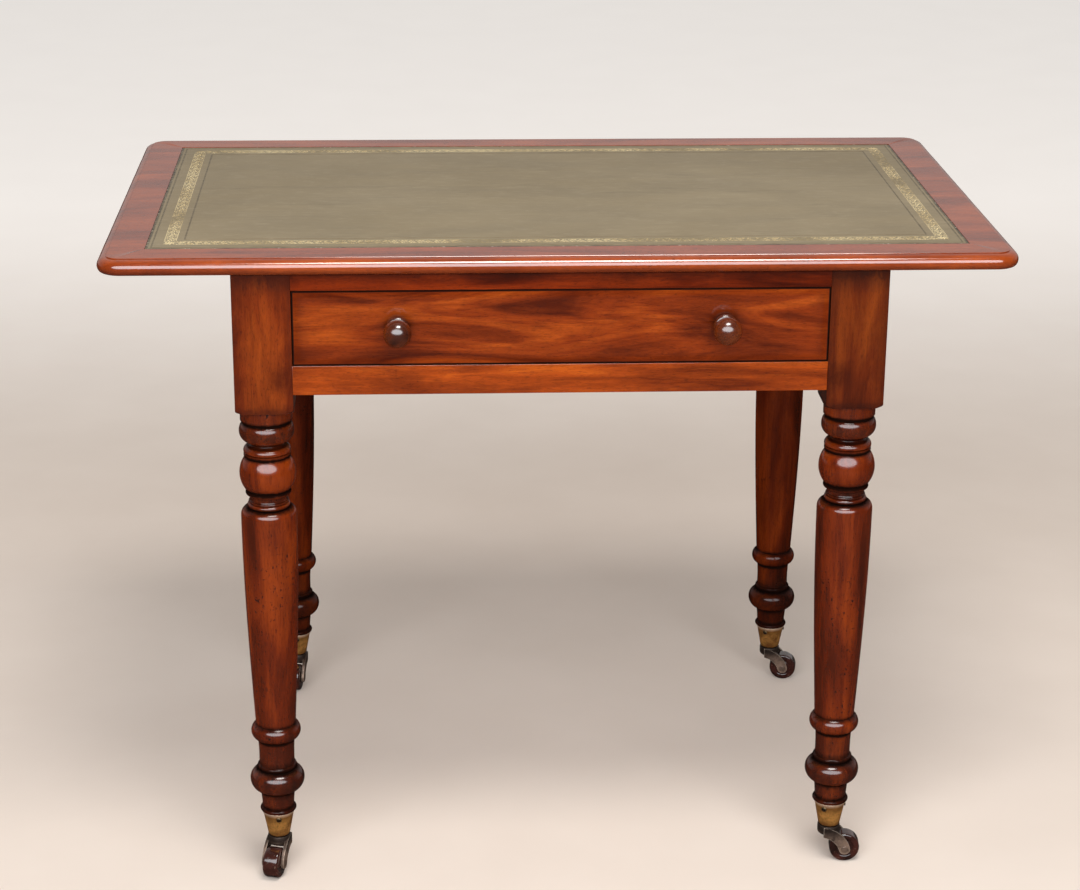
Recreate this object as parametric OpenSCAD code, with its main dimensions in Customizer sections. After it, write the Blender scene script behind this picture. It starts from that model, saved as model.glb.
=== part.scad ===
// Writing table with a leather top, one frieze drawer, turned legs and brass cup castors.
// Origin at floor level, midway between the fronts of the knobs and the back edge of the top.
// +X is to the right, +Y to the back, +Z up. All sizes in millimetres.

/* [Table] */
// Width of the top, end to end
table_w = 965; // [850:1:1200]
// Depth of the top, front to back
table_d = 572; // [500:1:760]
// Height of the wooden top surface above the floor
table_h = 725; // [690:1:780]

/* [Top board] */
// Thickness of the top board
top_t = 17; // [14:0.5:24]
// Radius of the corners in plan
top_corner_r = 26; // [18:1:45]
// Width of the moulded edge, seen from above
mould_w = 9.5; // [7:0.5:12]
// Depth of the small step between the flat top and the moulded edge
mould_step = 1.2; // [0.8:0.1:2]
// Width of the round under the moulded edge
mould_under = 5; // [3:0.5:7]
// Height of the round under the moulded edge
mould_under_h = 7; // [4:0.5:9]

/* [Leather] */
// Width of the wooden margin round the leather
leather_margin = 47.5; // [30:0.5:80]
// Thickness of the leather
leather_t = 1; // [0.8:0.1:1.6]
// How far the leather lies below the wood
leather_sink = 0.2; // [0.1:0.1:0.6]
// Radius of the corners of the leather
leather_corner_r = 4; // [2:0.5:12]
// Gap round the leather in its recess
leather_gap = 0.15; // [0.1:0.05:0.3]

/* [Frame] */
// Width of the square block of each leg
block_w = 61.5; // [58:0.5:76]
// Overhang of the top past the leg blocks at each end
side_overhang = 138.5; // [40:0.5:160]
// Overhang of the top past the leg blocks at the front and the back
front_overhang = 6.5; // [4:0.5:40]
// Height of the frieze, from the underside of the top to the bottom of the rails
frieze_h = 132; // [118:1:150]
// How far the leg blocks run below the rails
block_drop = 21; // [10:1:40]
// Height of the lathe-cut shoulder at the foot of each block
pommel_h = 4; // [2:0.5:8]
// How far the lathe-cut shoulder takes the block's corners back
pommel_cut = 4.5; // [2:0.5:8]
// Height of the rail above the drawer
top_rail_h = 18; // [14:0.5:22]
// Height of the rail below the drawer
lower_rail_h = 32; // [22:0.5:36]
// Depth of the rail below the drawer, front to back
lower_rail_d = 45; // [38:1:52]
// Thickness of the side rails and the back rail
rail_t = 22; // [18:0.5:26]
// How far the side rails and the back rail lie behind the faces of the blocks
rail_setback = 3; // [1:0.5:5]
// Length of the tenons
tenon_l = 26; // [18:0.5:28]
// Thickness of the tenons
tenon_t = 9; // [6:0.5:10]
// Shoulder above and below the tenons of the side rails and the back rail
tenon_shoulder = 22; // [12:1:28]
// Shoulder above and below the twin tenons of the lower rail
twin_shoulder = 4; // [3:0.5:6]
// Width of the dovetail of the top rail where it enters the leg
lap_tail_w = 30; // [22:1:36]
// How much wider that dovetail is at its end
lap_tail_flare = 8; // [4:1:10]
// Thickness of that dovetail
lap_tail_t = 12; // [8:0.5:13]
// Gap in the glued joints
joint_gap = 0.1; // [0.05:0.05:0.2]

/* [Runners] */
// Width of the drawer runners and the kickers above them
runner_w = 57; // [48:1:70]
// Thickness of the drawer runners
runner_t = 20; // [14:0.5:24]
// Height of the side guides on the runners
guide_h = 20; // [12:1:30]
// Height of the drawer stops
stop_h = 5; // [4:0.5:5.5]
// Length of each drawer stop along the rail
stop_l = 40; // [25:1:60]
// Distance of the drawer stops from the sides of the opening
stop_inset = 112; // [60:1:150]
// Length of each glue block
glue_block_l = 60; // [40:1:90]
// Width of the two equal sides of each glue block
glue_block_w = 16; // [12:1:18]
// Number of glue blocks along the back rail
glue_block_count = 3; // [1:1:3]
// Distance of the outer screws from the ends of each kicker
top_screw_inset = 48; // [20:1:90]
// How far the screws that hold the top reach into it
top_screw_bite = 10; // [6:0.5:11]

/* [Drawer] */
// Gap round the drawer front
drawer_gap = 0.7; // [0.4:0.1:1.5]
// Clearance of the drawer over its runners
run_gap = 0.15; // [0.1:0.05:0.3]
// Clearance of the drawer sides under the kickers
kick_gap = 3; // [1:0.5:4]
// Space between the closed drawer and the back rail
drawer_space = 44; // [20:1:120]
// Thickness of the drawer front
drawer_front_t = 20; // [17:0.5:24]
// Wood left in front of the dovetails
dovetail_lap = 5; // [4:0.5:7]
// Thickness of the drawer sides
drawer_side_t = 10; // [8:0.5:12]
// Thickness of the drawer back
drawer_back_t = 10; // [8:0.5:13]
// How far the drawer back stays below the tops of the sides
drawer_back_drop = 8; // [4:1:14]
// Thickness of the drawer bottom
drawer_bottom_t = 6; // [5:0.5:7]
// Height of the drawer bottom above the lower edge of the sides
drawer_bottom_z = 6; // [5.8:0.1:8]
// Depth of the groove that holds the drawer bottom
groove_d = 6; // [4:0.5:8]
// Width of the slips that carry the drawer bottom
slip_w = 13; // [11:0.5:18]
// Height of the slips above the drawer bottom
slip_lip = 4; // [3:0.5:6]
// Number of dovetails at each corner of the drawer
dovetail_count = 3; // [2:1:4]
// Width of a dovetail at its end, as a share of its pitch
dovetail_share = 0.7; // [0.55:0.05:0.8]
// How far each side of a dovetail leans, over its length
dovetail_lean = 2.4; // [1:0.2:3]

/* [Knobs] */
// Distance of the knobs from the sides of the opening
knob_inset = 110.5; // [50:0.5:150]
// Radius of the head of a knob
knob_r = 14.8; // [12:0.1:20]
// How far a knob stands out from the drawer front
knob_l = 36; // [30:0.5:44]
// Length of the head of a knob
knob_head_l = 23; // [18:0.5:26]
// Radius of the collar of a knob
knob_collar_r = 13.2; // [10:0.1:18]
// Height of the collar of a knob
knob_collar_h = 7.5; // [5:0.5:9]
// Radius of the neck of a knob
knob_neck_r = 8.6; // [7:0.1:9.5]
// Radius of the spigot of a knob
knob_spigot_r = 6; // [4:0.1:6.5]

/* [Leg turning, upper part] */
// Height of the collar under the block
collar_h = 15; // [8:0.5:22]
// Radius of the collar
collar_r = 28; // [26:0.1:29]
// Width of the cut line under the collar
quirk_h = 2.5; // [1:0.1:3]
// Depth of the cut lines
quirk_d = 1.8; // [1:0.1:2.5]
// Height of the ovolo
ovolo_h = 21.5; // [16:0.5:28]
// Radius of the ovolo
ovolo_r = 29.6; // [27:0.1:30.5]
// Height of the neck between the ovolo and the bead
neck_h = 5; // [3:0.5:9]
// Radius of the neck
neck_r = 17.4; // [15:0.1:20]
// Height of the bead above the ball
bead_h = 11.5; // [9:0.5:14]
// Height of the fillet at the foot of that bead
bead_lip_h = 4; // [2.5:0.1:5]
// Radius of the bead above the ball
bead_r = 25.6; // [23:0.1:28]
// Radius of the ball
ball_r = 30.5; // [28:0.1:31]
// Height of the ball
ball_h = 38.5; // [30:0.5:42]
// Height of the fillet under the ball
fillet_h = 5.5; // [4:0.5:8]
// Radius of the fillet under the ball
fillet_r = 24.7; // [22:0.1:26]
// Height of the cove under the fillet
cove_h = 6; // [4:0.5:9]
// Radius of the cove at its narrowest
cove_r = 19.8; // [17:0.1:21]
// Height of the lip between the cove and the astragal
lip_h = 3; // [2:0.5:4]
// Radius of the lip between the cove and the astragal
lip_r = 21.7; // [21:0.1:22.6]
// Height of the astragal over the shaft
astragal_h = 6; // [4:0.5:7]
// Radius of the astragal over the shaft
astragal_r = 23.2; // [21.5:0.1:25]
// Height of the round shoulder of the shaft
shoulder_h = 8.5; // [6:0.5:14]
// Radius of the shaft at its top
shaft_r = 30.3; // [27:0.1:30.7]
// Radius of the shaft at its foot
shaft_foot_r = 22.2; // [19:0.1:24]

/* [Leg turning, lower part] */
// Height of the bead under the shaft
foot_bead_h = 21; // [14:0.5:26]
// Radius of the bead under the shaft
foot_bead_r = 27.5; // [25:0.1:29]
// Height of the waist between the bead and the ring
waist_h = 30; // [18:0.5:40]
// Radius of the waist at its top
waist_r = 20.3; // [18:0.1:21.5]
// Radius of the waist at its foot
waist_foot_r = 19.6; // [17:0.1:20]
// Height of the ring over the bulb
ring_h = 5.5; // [4:0.5:8]
// Radius of the ring over the bulb
ring_r = 22; // [21:0.1:23]
// Height of the bulb above its widest place
bulb_top_h = 12.5; // [9:0.5:18]
// Height of the bulb below its widest place
bulb_foot_h = 15; // [11:0.5:20]
// Radius of the bulb
bulb_r = 30.2; // [27:0.1:31]
// Height of the ankle between the bulb and the last ring
ankle_h = 20.5; // [14:0.5:26]
// Radius of the ankle at its top
ankle_r = 19.4; // [18.4:0.1:21]
// Radius of the ankle at its foot
ankle_foot_r = 17.5; // [17:0.1:18.4]
// Height of the last ring, which sits on the castor cup
last_ring_h = 5; // [3:0.5:7]
// Radius of the last ring
last_ring_r = 20.2; // [19:0.1:22]

/* [Castors] */
// Radius of the wheels
wheel_r = 17; // [15.5:0.5:18.5]
// Width of the wheels
wheel_w = 18; // [14:0.5:20]
// Radius of the round at the edges of a wheel
wheel_edge_r = 2.4; // [1:0.2:3.4]
// Radius of the axles
axle_r = 3; // [2.5:0.1:3.5]
// Radial clearance of a wheel on its axle
axle_gap = 0.1; // [0.05:0.01:0.1]
// Radius of the riveted ends of an axle
axle_head_r = 4; // [3.7:0.1:4.6]
// Height of the riveted ends of an axle
axle_head_h = 0.8; // [0.5:0.1:1.2]
// Distance from the swivel axis to the axle
trail = 18.5; // [17:0.5:21]
// Gap between a wheel and each horn of its fork
horn_gap = 0.7; // [0.4:0.1:1]
// Thickness of each horn
horn_t = 3.2; // [2.6:0.1:4]
// Radius of the round end of each horn
horn_end_r = 6.3; // [5.6:0.1:6.6]
// Radius of the sweep of the horns, along their middle
horn_sweep_r = 28.3; // [26:0.1:30]
// Radius of the hub of a fork
hub_r = 12.7; // [11.5:0.1:13.2]
// Height of the hub of a fork
hub_h = 11.7; // [10:0.1:12.4]
// Radius of the round under the hub
hub_round = 4; // [2:0.2:5]
// How far the top of a fork stands over its wheel
fork_rise = 10.2; // [9.6:0.1:12]
// Gap between the fork and the cup
swivel_gap = 0.3; // [0.2:0.1:0.4]
// Radius of the swivel pins
pin_r = 3.5; // [3:0.1:4]
// Radial clearance of a swivel pin in its cup
pin_gap = 0.06; // [0.03:0.01:0.1]
// Radius of the head of a swivel pin
pin_head_r = 6.5; // [5.5:0.1:7.5]
// Height of the head of a swivel pin
pin_head_h = 3; // [2:0.1:4]
// Height of a cup
cup_h = 31; // [27:0.2:36]
// Radius of a cup at its foot
cup_foot_r = 12.4; // [11.8:0.1:13.4]
// Radius of the round at the foot of a cup
cup_round = 3.4; // [2:0.2:3.8]
// Radius of a cup under its rim
cup_top_r = 17.2; // [16.5:0.1:18]
// Radius of the rim of a cup
cup_rim_r = 18; // [17.8:0.1:19]
// Height of the rim of a cup
cup_rim_h = 2.4; // [1.6:0.2:3.4]
// Thickness of the wall of a cup
cup_wall = 1.8; // [1.4:0.1:2.4]
// Thickness of the floor of a cup
cup_floor_t = 4; // [3:0.2:5]
// Gap between a leg and its cup
cup_gap = 0.15; // [0.1:0.05:0.3]
// Height left for the pin head between the cup floor and the end of the leg
cup_room = 7; // [5:0.5:9]
// Number of screws through each cup
cup_screw_count = 3; // [2:1:4]
// Depth of the cup screws below the top of the cup
cup_screw_z = 6.5; // [5.5:0.5:10]
// Heading of the front left castor at rest, in degrees from +X
front_left_heading = -107; // [-180:1:180]
// Heading of the front right castor at rest
front_right_heading = -5; // [-180:1:180]
// Heading of the back left castor at rest
back_left_heading = -100; // [-180:1:180]
// Heading of the back right castor at rest
back_right_heading = -11; // [-180:1:180]

/* [Screws] */
// Radius of the wood screws
screw_r = 2; // [1.5:0.1:2.2]
// Radius of the small screws in the cups and the drawer bottom
small_screw_r = 1.5; // [1.2:0.1:1.8]
// Length of the small screws
small_screw_l = 12; // [9:0.5:13]
// Length of the screws of the drawer bottom
bottom_screw_l = 20; // [14:0.5:24]
// Width of the slots in the screw heads
slot_w = 0.8; // [0.5:0.1:1.2]
// Clearance of a screw in its hole
screw_gap = 0.05; // [0.03:0.01:0.1]

/* [Hidden] */
$fn = 96;
cut = 1;

// Each corner: its name, its side in X and in Y, its castor's heading, and its first cup screw's bearing
CORNERS = [
    ["front_left", -1, -1, front_left_heading, -87],
    ["front_right", 1, -1, front_right_heading, -121],
    ["back_left", -1, 1, back_left_heading, -87],
    ["back_right", 1, 1, back_right_heading, -121]
];
// Each side of the table: its name and its side in X
SIDES = [["left", -1], ["right", 1]];

mahogany = [0.45, 0.17, 0.08];
dark_mahogany = [0.33, 0.11, 0.06];
leather_green = [0.45, 0.42, 0.29];
oak = [0.66, 0.52, 0.34];
pine = [0.78, 0.66, 0.46];
brass = [0.72, 0.53, 0.25];
bronze = [0.24, 0.18, 0.13];
steel = [0.45, 0.43, 0.40];
brown_glaze = [0.20, 0.09, 0.07];

// Legs and rails
leg_x = table_w / 2 - side_overhang - block_w / 2;
leg_y = table_d / 2 - front_overhang - block_w / 2;
block_in = block_w / 2;
under_z = table_h - top_t;
rail_z = under_z - frieze_h;
block_z = rail_z - block_drop;
opening_z = rail_z + lower_rail_h;
opening_top_z = under_z - top_rail_h;
opening_h = opening_top_z - opening_z;
opening_x = leg_x - block_in;
rail_face = block_in - rail_setback;
rail_inside = rail_face - rail_t;
front_y = leg_y + block_in;

// The knobs stand out past the top, so the table's middle lies a little behind the origin
centre_y = (front_y + knob_l - table_d / 2) / 2;

// Screws and blocks under the top
top_screw_l = top_rail_h + top_screw_bite;
kicker_half = leg_y - block_in;
glue_block_pitch = 2 * opening_x / (glue_block_count + 1);

// Drawer
drawer_l = front_y + leg_y + rail_inside - drawer_space;
knob_x = opening_x - knob_inset;
side_z = opening_z + run_gap;
side_h = opening_h - run_gap - kick_gap;
drawer_x = opening_x - drawer_gap;
front_in_y = -front_y + drawer_front_t;
tail_y = -front_y + dovetail_lap;
back_in_y = -front_y + drawer_l - drawer_back_t;
back_out_y = -front_y + drawer_l;
bottom_z = side_z + drawer_bottom_z;
back_z = bottom_z + drawer_bottom_t + joint_gap;
back_h = side_z + side_h - drawer_back_drop - back_z;
slip_h = drawer_bottom_z + drawer_bottom_t + slip_lip;
knob_z = (opening_z + opening_top_z) / 2;
bottom_half = drawer_x - drawer_side_t - slip_w + groove_d;
bottom_screw_pitch = bottom_half * 0.68;

// Castors
fork_top_z = 2 * wheel_r + fork_rise;
hub_z = fork_top_z - hub_h;
cup_z = fork_top_z + swivel_gap;
cup_top_z = cup_z + cup_h;
cup_inside_z = cup_z + cup_floor_t;
leg_end_z = cup_inside_z + cup_room;
screw_z = cup_top_z - cup_screw_z;
horn_in = wheel_w / 2 + horn_gap;
horn_out = horn_in + horn_t;
wheel_clear = 1.2;
// Centre of the sweep of the horns, which start just under the top of the fork and end at the axle
sweep_z = fork_top_z - 0.4 - horn_end_r - horn_sweep_r;
sweep_x = trail - sqrt(pow(horn_sweep_r, 2) - pow(wheel_r - sweep_z, 2));
sweep_turn = atan2(wheel_r - sweep_z, trail - sweep_x);
saddle_x = trail - 9;
saddle_back = 6;

// Heights of the turning, from the block down and from the cup up
quirk_z = block_z - collar_h;
ovolo_z = quirk_z - quirk_h;
neck_z = ovolo_z - ovolo_h;
bead_z = neck_z - neck_h;
ball_z = bead_z - bead_h;
fillet_z = ball_z - ball_h;
cove_z = fillet_z - fillet_h;
lip_z = cove_z - cove_h;
astragal_z = lip_z - lip_h;
shoulder_z = astragal_z - astragal_h;
shaft_z = shoulder_z - shoulder_h;
last_ring_z = cup_top_z + last_ring_h;
ankle_z = last_ring_z + ankle_h;
bulb_z = ankle_z + bulb_foot_h;
ring_z = bulb_z + bulb_top_h;
waist_z = ring_z + ring_h;
foot_bead_z = waist_z + waist_h;
shaft_foot_z = foot_bead_z + foot_bead_h;
ball_turn = asin(ball_h / 2 / ball_r);
bead_mid_z = ball_z + bead_lip_h + 2.2;
ovolo_mid_z = neck_z + ovolo_h * 0.55;

// Points on an ellipse about (x, z), with half axes a and b, from angle a0 to a1 in n steps
function bow(x, z, a, b, a0, a1, n) =
    [for (i = [0:n]) let (t = a0 + (a1 - a0) * i / n) [x + a * cos(t), z + b * sin(t)]];

// Radius of the outside of a cup at height z
function cup_r(z) =
    cup_foot_r + (cup_top_r - cup_foot_r) * (z - cup_z) / (cup_h - cup_rim_h);

// Heading of a corner's swivelling parts
function heading(c) = c[3];

// Moves the table's middle to its place behind the origin
module in_place() {
    translate([0, centre_y, 0]) children();
}

// Puts a piece at a corner, drawn for the back right corner, mirrored for the others
module at_corner(c) {
    in_place()
        translate([c[1] * leg_x, c[2] * leg_y, 0])
            mirror([c[1] < 0 ? 1 : 0, 0, 0])
                mirror([0, c[2] < 0 ? 1 : 0, 0])
                    children();
}

// Puts a castor's piece on the leg's axis, turned to a bearing
module on_axis(c, bearing) {
    in_place()
        translate([c[1] * leg_x, c[2] * leg_y, 0])
            rotate([0, 0, bearing])
                children();
}

// Puts a piece on one side of the table, drawn for the right side
module at_side(s) {
    in_place()
        mirror([s[1] < 0 ? 1 : 0, 0, 0])
            children();
}

// A box between two corners
module block(low, high) {
    translate(low) cube(high - low);
}

// Rectangle with round corners, about the origin
module round_rect(w, d, r) {
    square([w - 2 * r, d], center = true);
    square([w, d - 2 * r], center = true);
    for (x = [-1, 1])
        for (y = [-1, 1])
            translate([x * (w / 2 - r), y * (d / 2 - r)])
                circle(r);
}

// A countersunk wood screw pointing up +Z, its head's face at z = 0; grow widens it for its hole
module wood_screw(r, l, grow = 0) {
    head_r = 2 * r + grow;
    low = -cut * sign(grow);
    rotate_extrude()
        polygon(concat(
            [[0, low]],
            grow > 0 ? [[head_r, low]] : [],
            [[head_r, 0], [r + grow, r + grow], [r + grow, l - r]],
            [[r * 0.3 + grow, l + grow], [0, l + grow]]
        ));
}

// Section of the moulded edge: x is 0 where the flat top ends, z is 0 at the top face
module edge_section() {
    nose_z = -(top_t - mould_under_h);
    polygon(concat(
        [[-cut, -mould_step], [0, -mould_step]],
        bow(0, nose_z, mould_w, -mould_step - nose_z, 88, 0, 12),
        bow(mould_w - mould_under, nose_z, mould_under, mould_under_h, -10, -90, 9),
        [[-cut, -top_t]]
    ));
}

module moulded_board() {
    straight_x = table_w - 2 * top_corner_r;
    straight_y = table_d - 2 * top_corner_r;
    flat_w = table_w - 2 * mould_w;
    flat_d = table_d - 2 * mould_w;
    translate([0, 0, -top_t])
        linear_extrude(top_t)
            round_rect(flat_w, flat_d, top_corner_r - mould_w);
    for (a = [0, 180]) {
        rotate([0, 0, a])
            translate([flat_w / 2, straight_y / 2, 0])
                rotate([90, 0, 0])
                    linear_extrude(straight_y) edge_section();
        rotate([0, 0, a + 90])
            translate([flat_d / 2, straight_x / 2, 0])
                rotate([90, 0, 0])
                    linear_extrude(straight_x) edge_section();
    }
    for (c = CORNERS)
        translate([c[1] * straight_x / 2, c[2] * straight_y / 2, 0])
            rotate([0, 0, c[1] > 0 ? (c[2] > 0 ? 0 : -90) : (c[2] > 0 ? 90 : 180)])
                rotate_extrude(angle = 90)
                    translate([top_corner_r - mould_w, 0])
                        edge_section();
}

module leather_outline(grow) {
    round_rect(
        table_w - 2 * leather_margin + 2 * grow,
        table_d - 2 * leather_margin + 2 * grow,
        leather_corner_r + grow
    );
}

module table_top() {
    color(mahogany)
        in_place()
            difference() {
                translate([0, 0, table_h]) moulded_board();
                translate([0, 0, table_h - leather_sink - leather_t])
                    linear_extrude(leather_t + leather_sink + cut)
                        leather_outline(leather_gap);
                top_screw_places() wood_screw(screw_r, top_screw_l, screw_gap);
            }
}

module leather_writing_surface() {
    color(leather_green)
        in_place()
            translate([0, 0, table_h - leather_sink - leather_t])
                linear_extrude(leather_t) leather_outline(0);
}

// Outline of a turned leg, from the end inside the cup up to the block
function leg_outline() = concat(
    [[0, leg_end_z], [cup_r(leg_end_z) - cup_wall - cup_gap, leg_end_z]],
    [[cup_r(cup_top_z - cup_rim_h) - cup_wall - cup_gap, cup_top_z - cup_rim_h]],
    [[cup_top_r - cup_wall - cup_gap, cup_top_z]],
    bow(last_ring_r - last_ring_h / 2, cup_top_z + last_ring_h / 2,
        last_ring_h / 2, last_ring_h / 2, -90, 70, 8),
    [[ankle_foot_r, last_ring_z]],
    [[(ankle_foot_r + ankle_r) / 2 - 0.3, (last_ring_z + ankle_z) / 2], [ankle_r, ankle_z]],
    bow(ankle_r - 2, bulb_z, bulb_r - ankle_r + 2, bulb_foot_h, -78, 0, 10),
    bow(ankle_r - 2, bulb_z, bulb_r - ankle_r + 2, bulb_top_h, 9, 78, 8),
    bow(ring_r - ring_h / 2, ring_z + ring_h / 2, ring_h / 2, ring_h / 2, -80, 80, 8),
    [[waist_foot_r, waist_z + 0.4], [(waist_foot_r + waist_r) / 2 - 0.4, waist_z + waist_h * 0.55]],
    [[waist_r, foot_bead_z]],
    bow(foot_bead_r - foot_bead_h / 2, foot_bead_z + foot_bead_h / 2,
        foot_bead_h / 2, foot_bead_h / 2, -70, 62, 12),
    [for (i = [0:14]) let (t = i / 14)
        [shaft_foot_r + (shaft_r - shaft_foot_r) * sin(90 * t),
            shaft_foot_z + (shaft_z - shaft_foot_z) * t]],
    bow(astragal_r + 0.6, shaft_z, shaft_r - astragal_r - 0.6, shoulder_h, 12, 88, 7),
    [[astragal_r - 0.8, shoulder_z]],
    bow(astragal_r - astragal_h / 2, shoulder_z + astragal_h / 2,
        astragal_h / 2, astragal_h / 2, -80, 80, 8),
    bow(lip_r - lip_h / 2, astragal_z + lip_h / 2, lip_h / 2, lip_h / 2, -75, 80, 6),
    bow(lip_r - 0.9, lip_z + cove_h / 2, lip_r - 0.9 - cove_r, -cove_h / 2, 90, 270, 8),
    bow(fillet_r - fillet_h / 2, cove_z + fillet_h / 2, fillet_h / 2, fillet_h / 2, -75, 60, 8),
    [[fillet_r - quirk_d, fillet_z - 0.2]],
    bow(0, fillet_z + ball_h / 2, ball_r, ball_r, -ball_turn, ball_turn, 14),
    [[bead_r - quirk_d, ball_z], [bead_r - quirk_d, ball_z + 0.8], [bead_r - 0.3, ball_z + 0.8]],
    [[bead_r - 0.3, ball_z + bead_lip_h - 0.3], [bead_r - 1.1, ball_z + bead_lip_h]],
    bow(bead_r - 4.6, bead_mid_z, 4.6, bead_mid_z - ball_z - bead_lip_h, -50, 0, 4),
    bow(bead_r - 4.6, bead_mid_z, 4.6, bead_z - bead_mid_z, 10, 88, 8),
    bow(bead_r - 4.6, bead_z + neck_h / 2, bead_r - 4.6 - neck_r, -neck_h / 2, 98, 200, 7),
    bow(neck_r + 1.6, ovolo_mid_z, ovolo_r - neck_r - 1.6, ovolo_mid_z - neck_z, -88, 0, 12),
    bow(ovolo_r - 5, ovolo_mid_z, 5, ovolo_z - ovolo_mid_z, 12, 75, 6),
    [[collar_r - quirk_d, ovolo_z], [collar_r - quirk_d, quirk_z]],
    [[collar_r - 0.5, quirk_z], [collar_r, quirk_z + 0.6], [collar_r, block_z]],
    [[neck_r, block_z], [neck_r, block_z + pommel_h], [0, block_z + pommel_h]]
);

// Holes of the screws that pass through the cup into the leg's end, drawn about the leg's axis
module cup_screw_places(c) {
    for (i = [0:cup_screw_count - 1])
        rotate([0, 0, c[4] + i * 360 / cup_screw_count])
            translate([cup_r(screw_z), 0, screw_z])
                rotate([0, -90, 0])
                    children();
}

// Square block at the top of a leg, its corners cut back on the lathe at the foot
module leg_block() {
    corner_r = block_in * sqrt(2);
    intersection() {
        translate([-block_in, -block_in, block_z])
            cube([block_w, block_w, under_z - block_z]);
        rotate_extrude()
            polygon([
                [0, block_z], [corner_r - pommel_cut, block_z],
                [corner_r + 0.1, block_z + pommel_h], [corner_r + 0.1, under_z], [0, under_z]
            ]);
    }
}

// Mortises that take the side rail in every leg, and the back rail or the two front rails
module leg_mortises(is_front) {
    g = joint_gap;
    side_tenon(g);
    if (is_front) {
        twin_tenons(g);
        lap_tail(g);
    } else {
        back_tenon(g);
    }
}

module leg(c) {
    color(dark_mahogany)
        union() {
            difference() {
                at_corner(c) leg_block();
                at_corner(c) leg_mortises(c[2] < 0);
            }
            difference() {
                on_axis(c, 0) rotate_extrude() polygon(leg_outline());
                on_axis(c, 0)
                    cup_screw_places(c)
                        cylinder(r = small_screw_r + screw_gap, h = small_screw_l + screw_gap);
            }
        }
}

// Tenon of a side rail in a leg, about the leg's axis; g widens it for the mortise
module side_tenon(g) {
    x = rail_inside + (rail_t - tenon_t) / 2;
    block(
        [x - g, -block_in - cut, rail_z + tenon_shoulder - g],
        [x + tenon_t + g, -block_in + tenon_l + g, under_z - tenon_shoulder + g]
    );
}

// Tenon of the back rail in a leg
module back_tenon(g) {
    y = rail_inside + (rail_t - tenon_t) / 2;
    block(
        [-block_in - cut, y - g, rail_z + tenon_shoulder - g],
        [-block_in + tenon_l + g, y + tenon_t + g, under_z - tenon_shoulder + g]
    );
}

// Twin tenons of the lower rail in a front leg
module twin_tenons(g) {
    for (i = [1, 3])
        let (y = block_in - lower_rail_d + i * lower_rail_d / 5 + (lower_rail_d / 5 - tenon_t) / 2)
            block(
                [-block_in - cut, y - g, rail_z + twin_shoulder - g],
                [-block_in + tenon_l + g, y + tenon_t + g, opening_z - twin_shoulder + g]
            );
}

// Dovetail of the top rail, let into the top of a front leg
module lap_tail(g) {
    a = lap_tail_w / 2 + g;
    b = a + lap_tail_flare / 2;
    translate([-block_in, 0, under_z - lap_tail_t - g])
        linear_extrude(lap_tail_t + g + cut * sign(g))
            polygon([
                [-cut, -a], [0, -a], [tenon_l + g, -b],
                [tenon_l + g, b], [0, a], [-cut, a]
            ]);
}

// A rail between the front legs; the children are its tenon or dovetail, drawn at both corners
module front_rail(z0, z1, depth) {
    in_place()
        block([-opening_x, -front_y, z0], [opening_x, -front_y + depth, z1]);
    for (c = CORNERS)
        if (c[2] < 0)
            at_corner(c) children();
}

module front_top_rail() {
    color(mahogany)
        difference() {
            front_rail(opening_top_z, under_z, block_w) lap_tail(0);
            in_place() top_screw_places() wood_screw(screw_r, top_screw_l, screw_gap);
        }
}

module front_lower_rail() {
    color(mahogany)
        front_rail(rail_z, opening_z, lower_rail_d) twin_tenons(0);
}

module back_rail() {
    color(mahogany) {
        in_place()
            block(
                [-opening_x, leg_y + rail_inside, rail_z],
                [opening_x, leg_y + rail_face, under_z]
            );
        for (c = CORNERS)
            if (c[2] > 0)
                at_corner(c) back_tenon(0);
    }
}

module side_rail(s) {
    color(mahogany) {
        at_side(s)
            block(
                [leg_x + rail_inside, -leg_y + block_in, rail_z],
                [leg_x + rail_face, leg_y - block_in, under_z]
            );
        for (c = CORNERS)
            if (c[1] == s[1])
                at_corner(c) side_tenon(0);
    }
}

// Strip along a side rail, between the leg blocks
module side_strip(x0, z0, z1) {
    block(
        [x0, -leg_y + block_in, z0],
        [leg_x + rail_inside, leg_y - block_in, z1]
    );
}

module drawer_runner(s) {
    inner_x = leg_x + rail_inside - runner_w;
    color(oak)
        at_side(s) {
            side_strip(inner_x, opening_z - runner_t, opening_z);
            block(
                [inner_x, -front_y + lower_rail_d, opening_z - runner_t],
                [opening_x, leg_y + rail_inside, opening_z]
            );
        }
}

module drawer_guide(s) {
    color(oak)
        at_side(s)
            side_strip(opening_x, opening_z, opening_z + guide_h);
}

module drawer_kicker(s) {
    color(oak)
        difference() {
            at_side(s)
                side_strip(leg_x + rail_inside - runner_w, opening_top_z, under_z);
            in_place() top_screw_places() wood_screw(screw_r, top_screw_l, screw_gap);
        }
}

module drawer_stops() {
    color(oak)
        for (s = SIDES)
            at_side(s)
                block(
                    [opening_x - stop_inset - stop_l, front_in_y + joint_gap, opening_z],
                    [opening_x - stop_inset, -front_y + lower_rail_d, opening_z + stop_h]
                );
}

module glue_blocks() {
    color(pine)
        in_place()
            for (i = [0:glue_block_count - 1])
                translate([
                    (i - (glue_block_count - 1) / 2) * glue_block_pitch - glue_block_l / 2,
                    leg_y + rail_inside,
                    under_z
                ])
                    rotate([90, 0, 90])
                        linear_extrude(glue_block_l)
                            polygon([[0, 0], [-glue_block_w, 0], [0, -glue_block_w]]);
}

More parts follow.
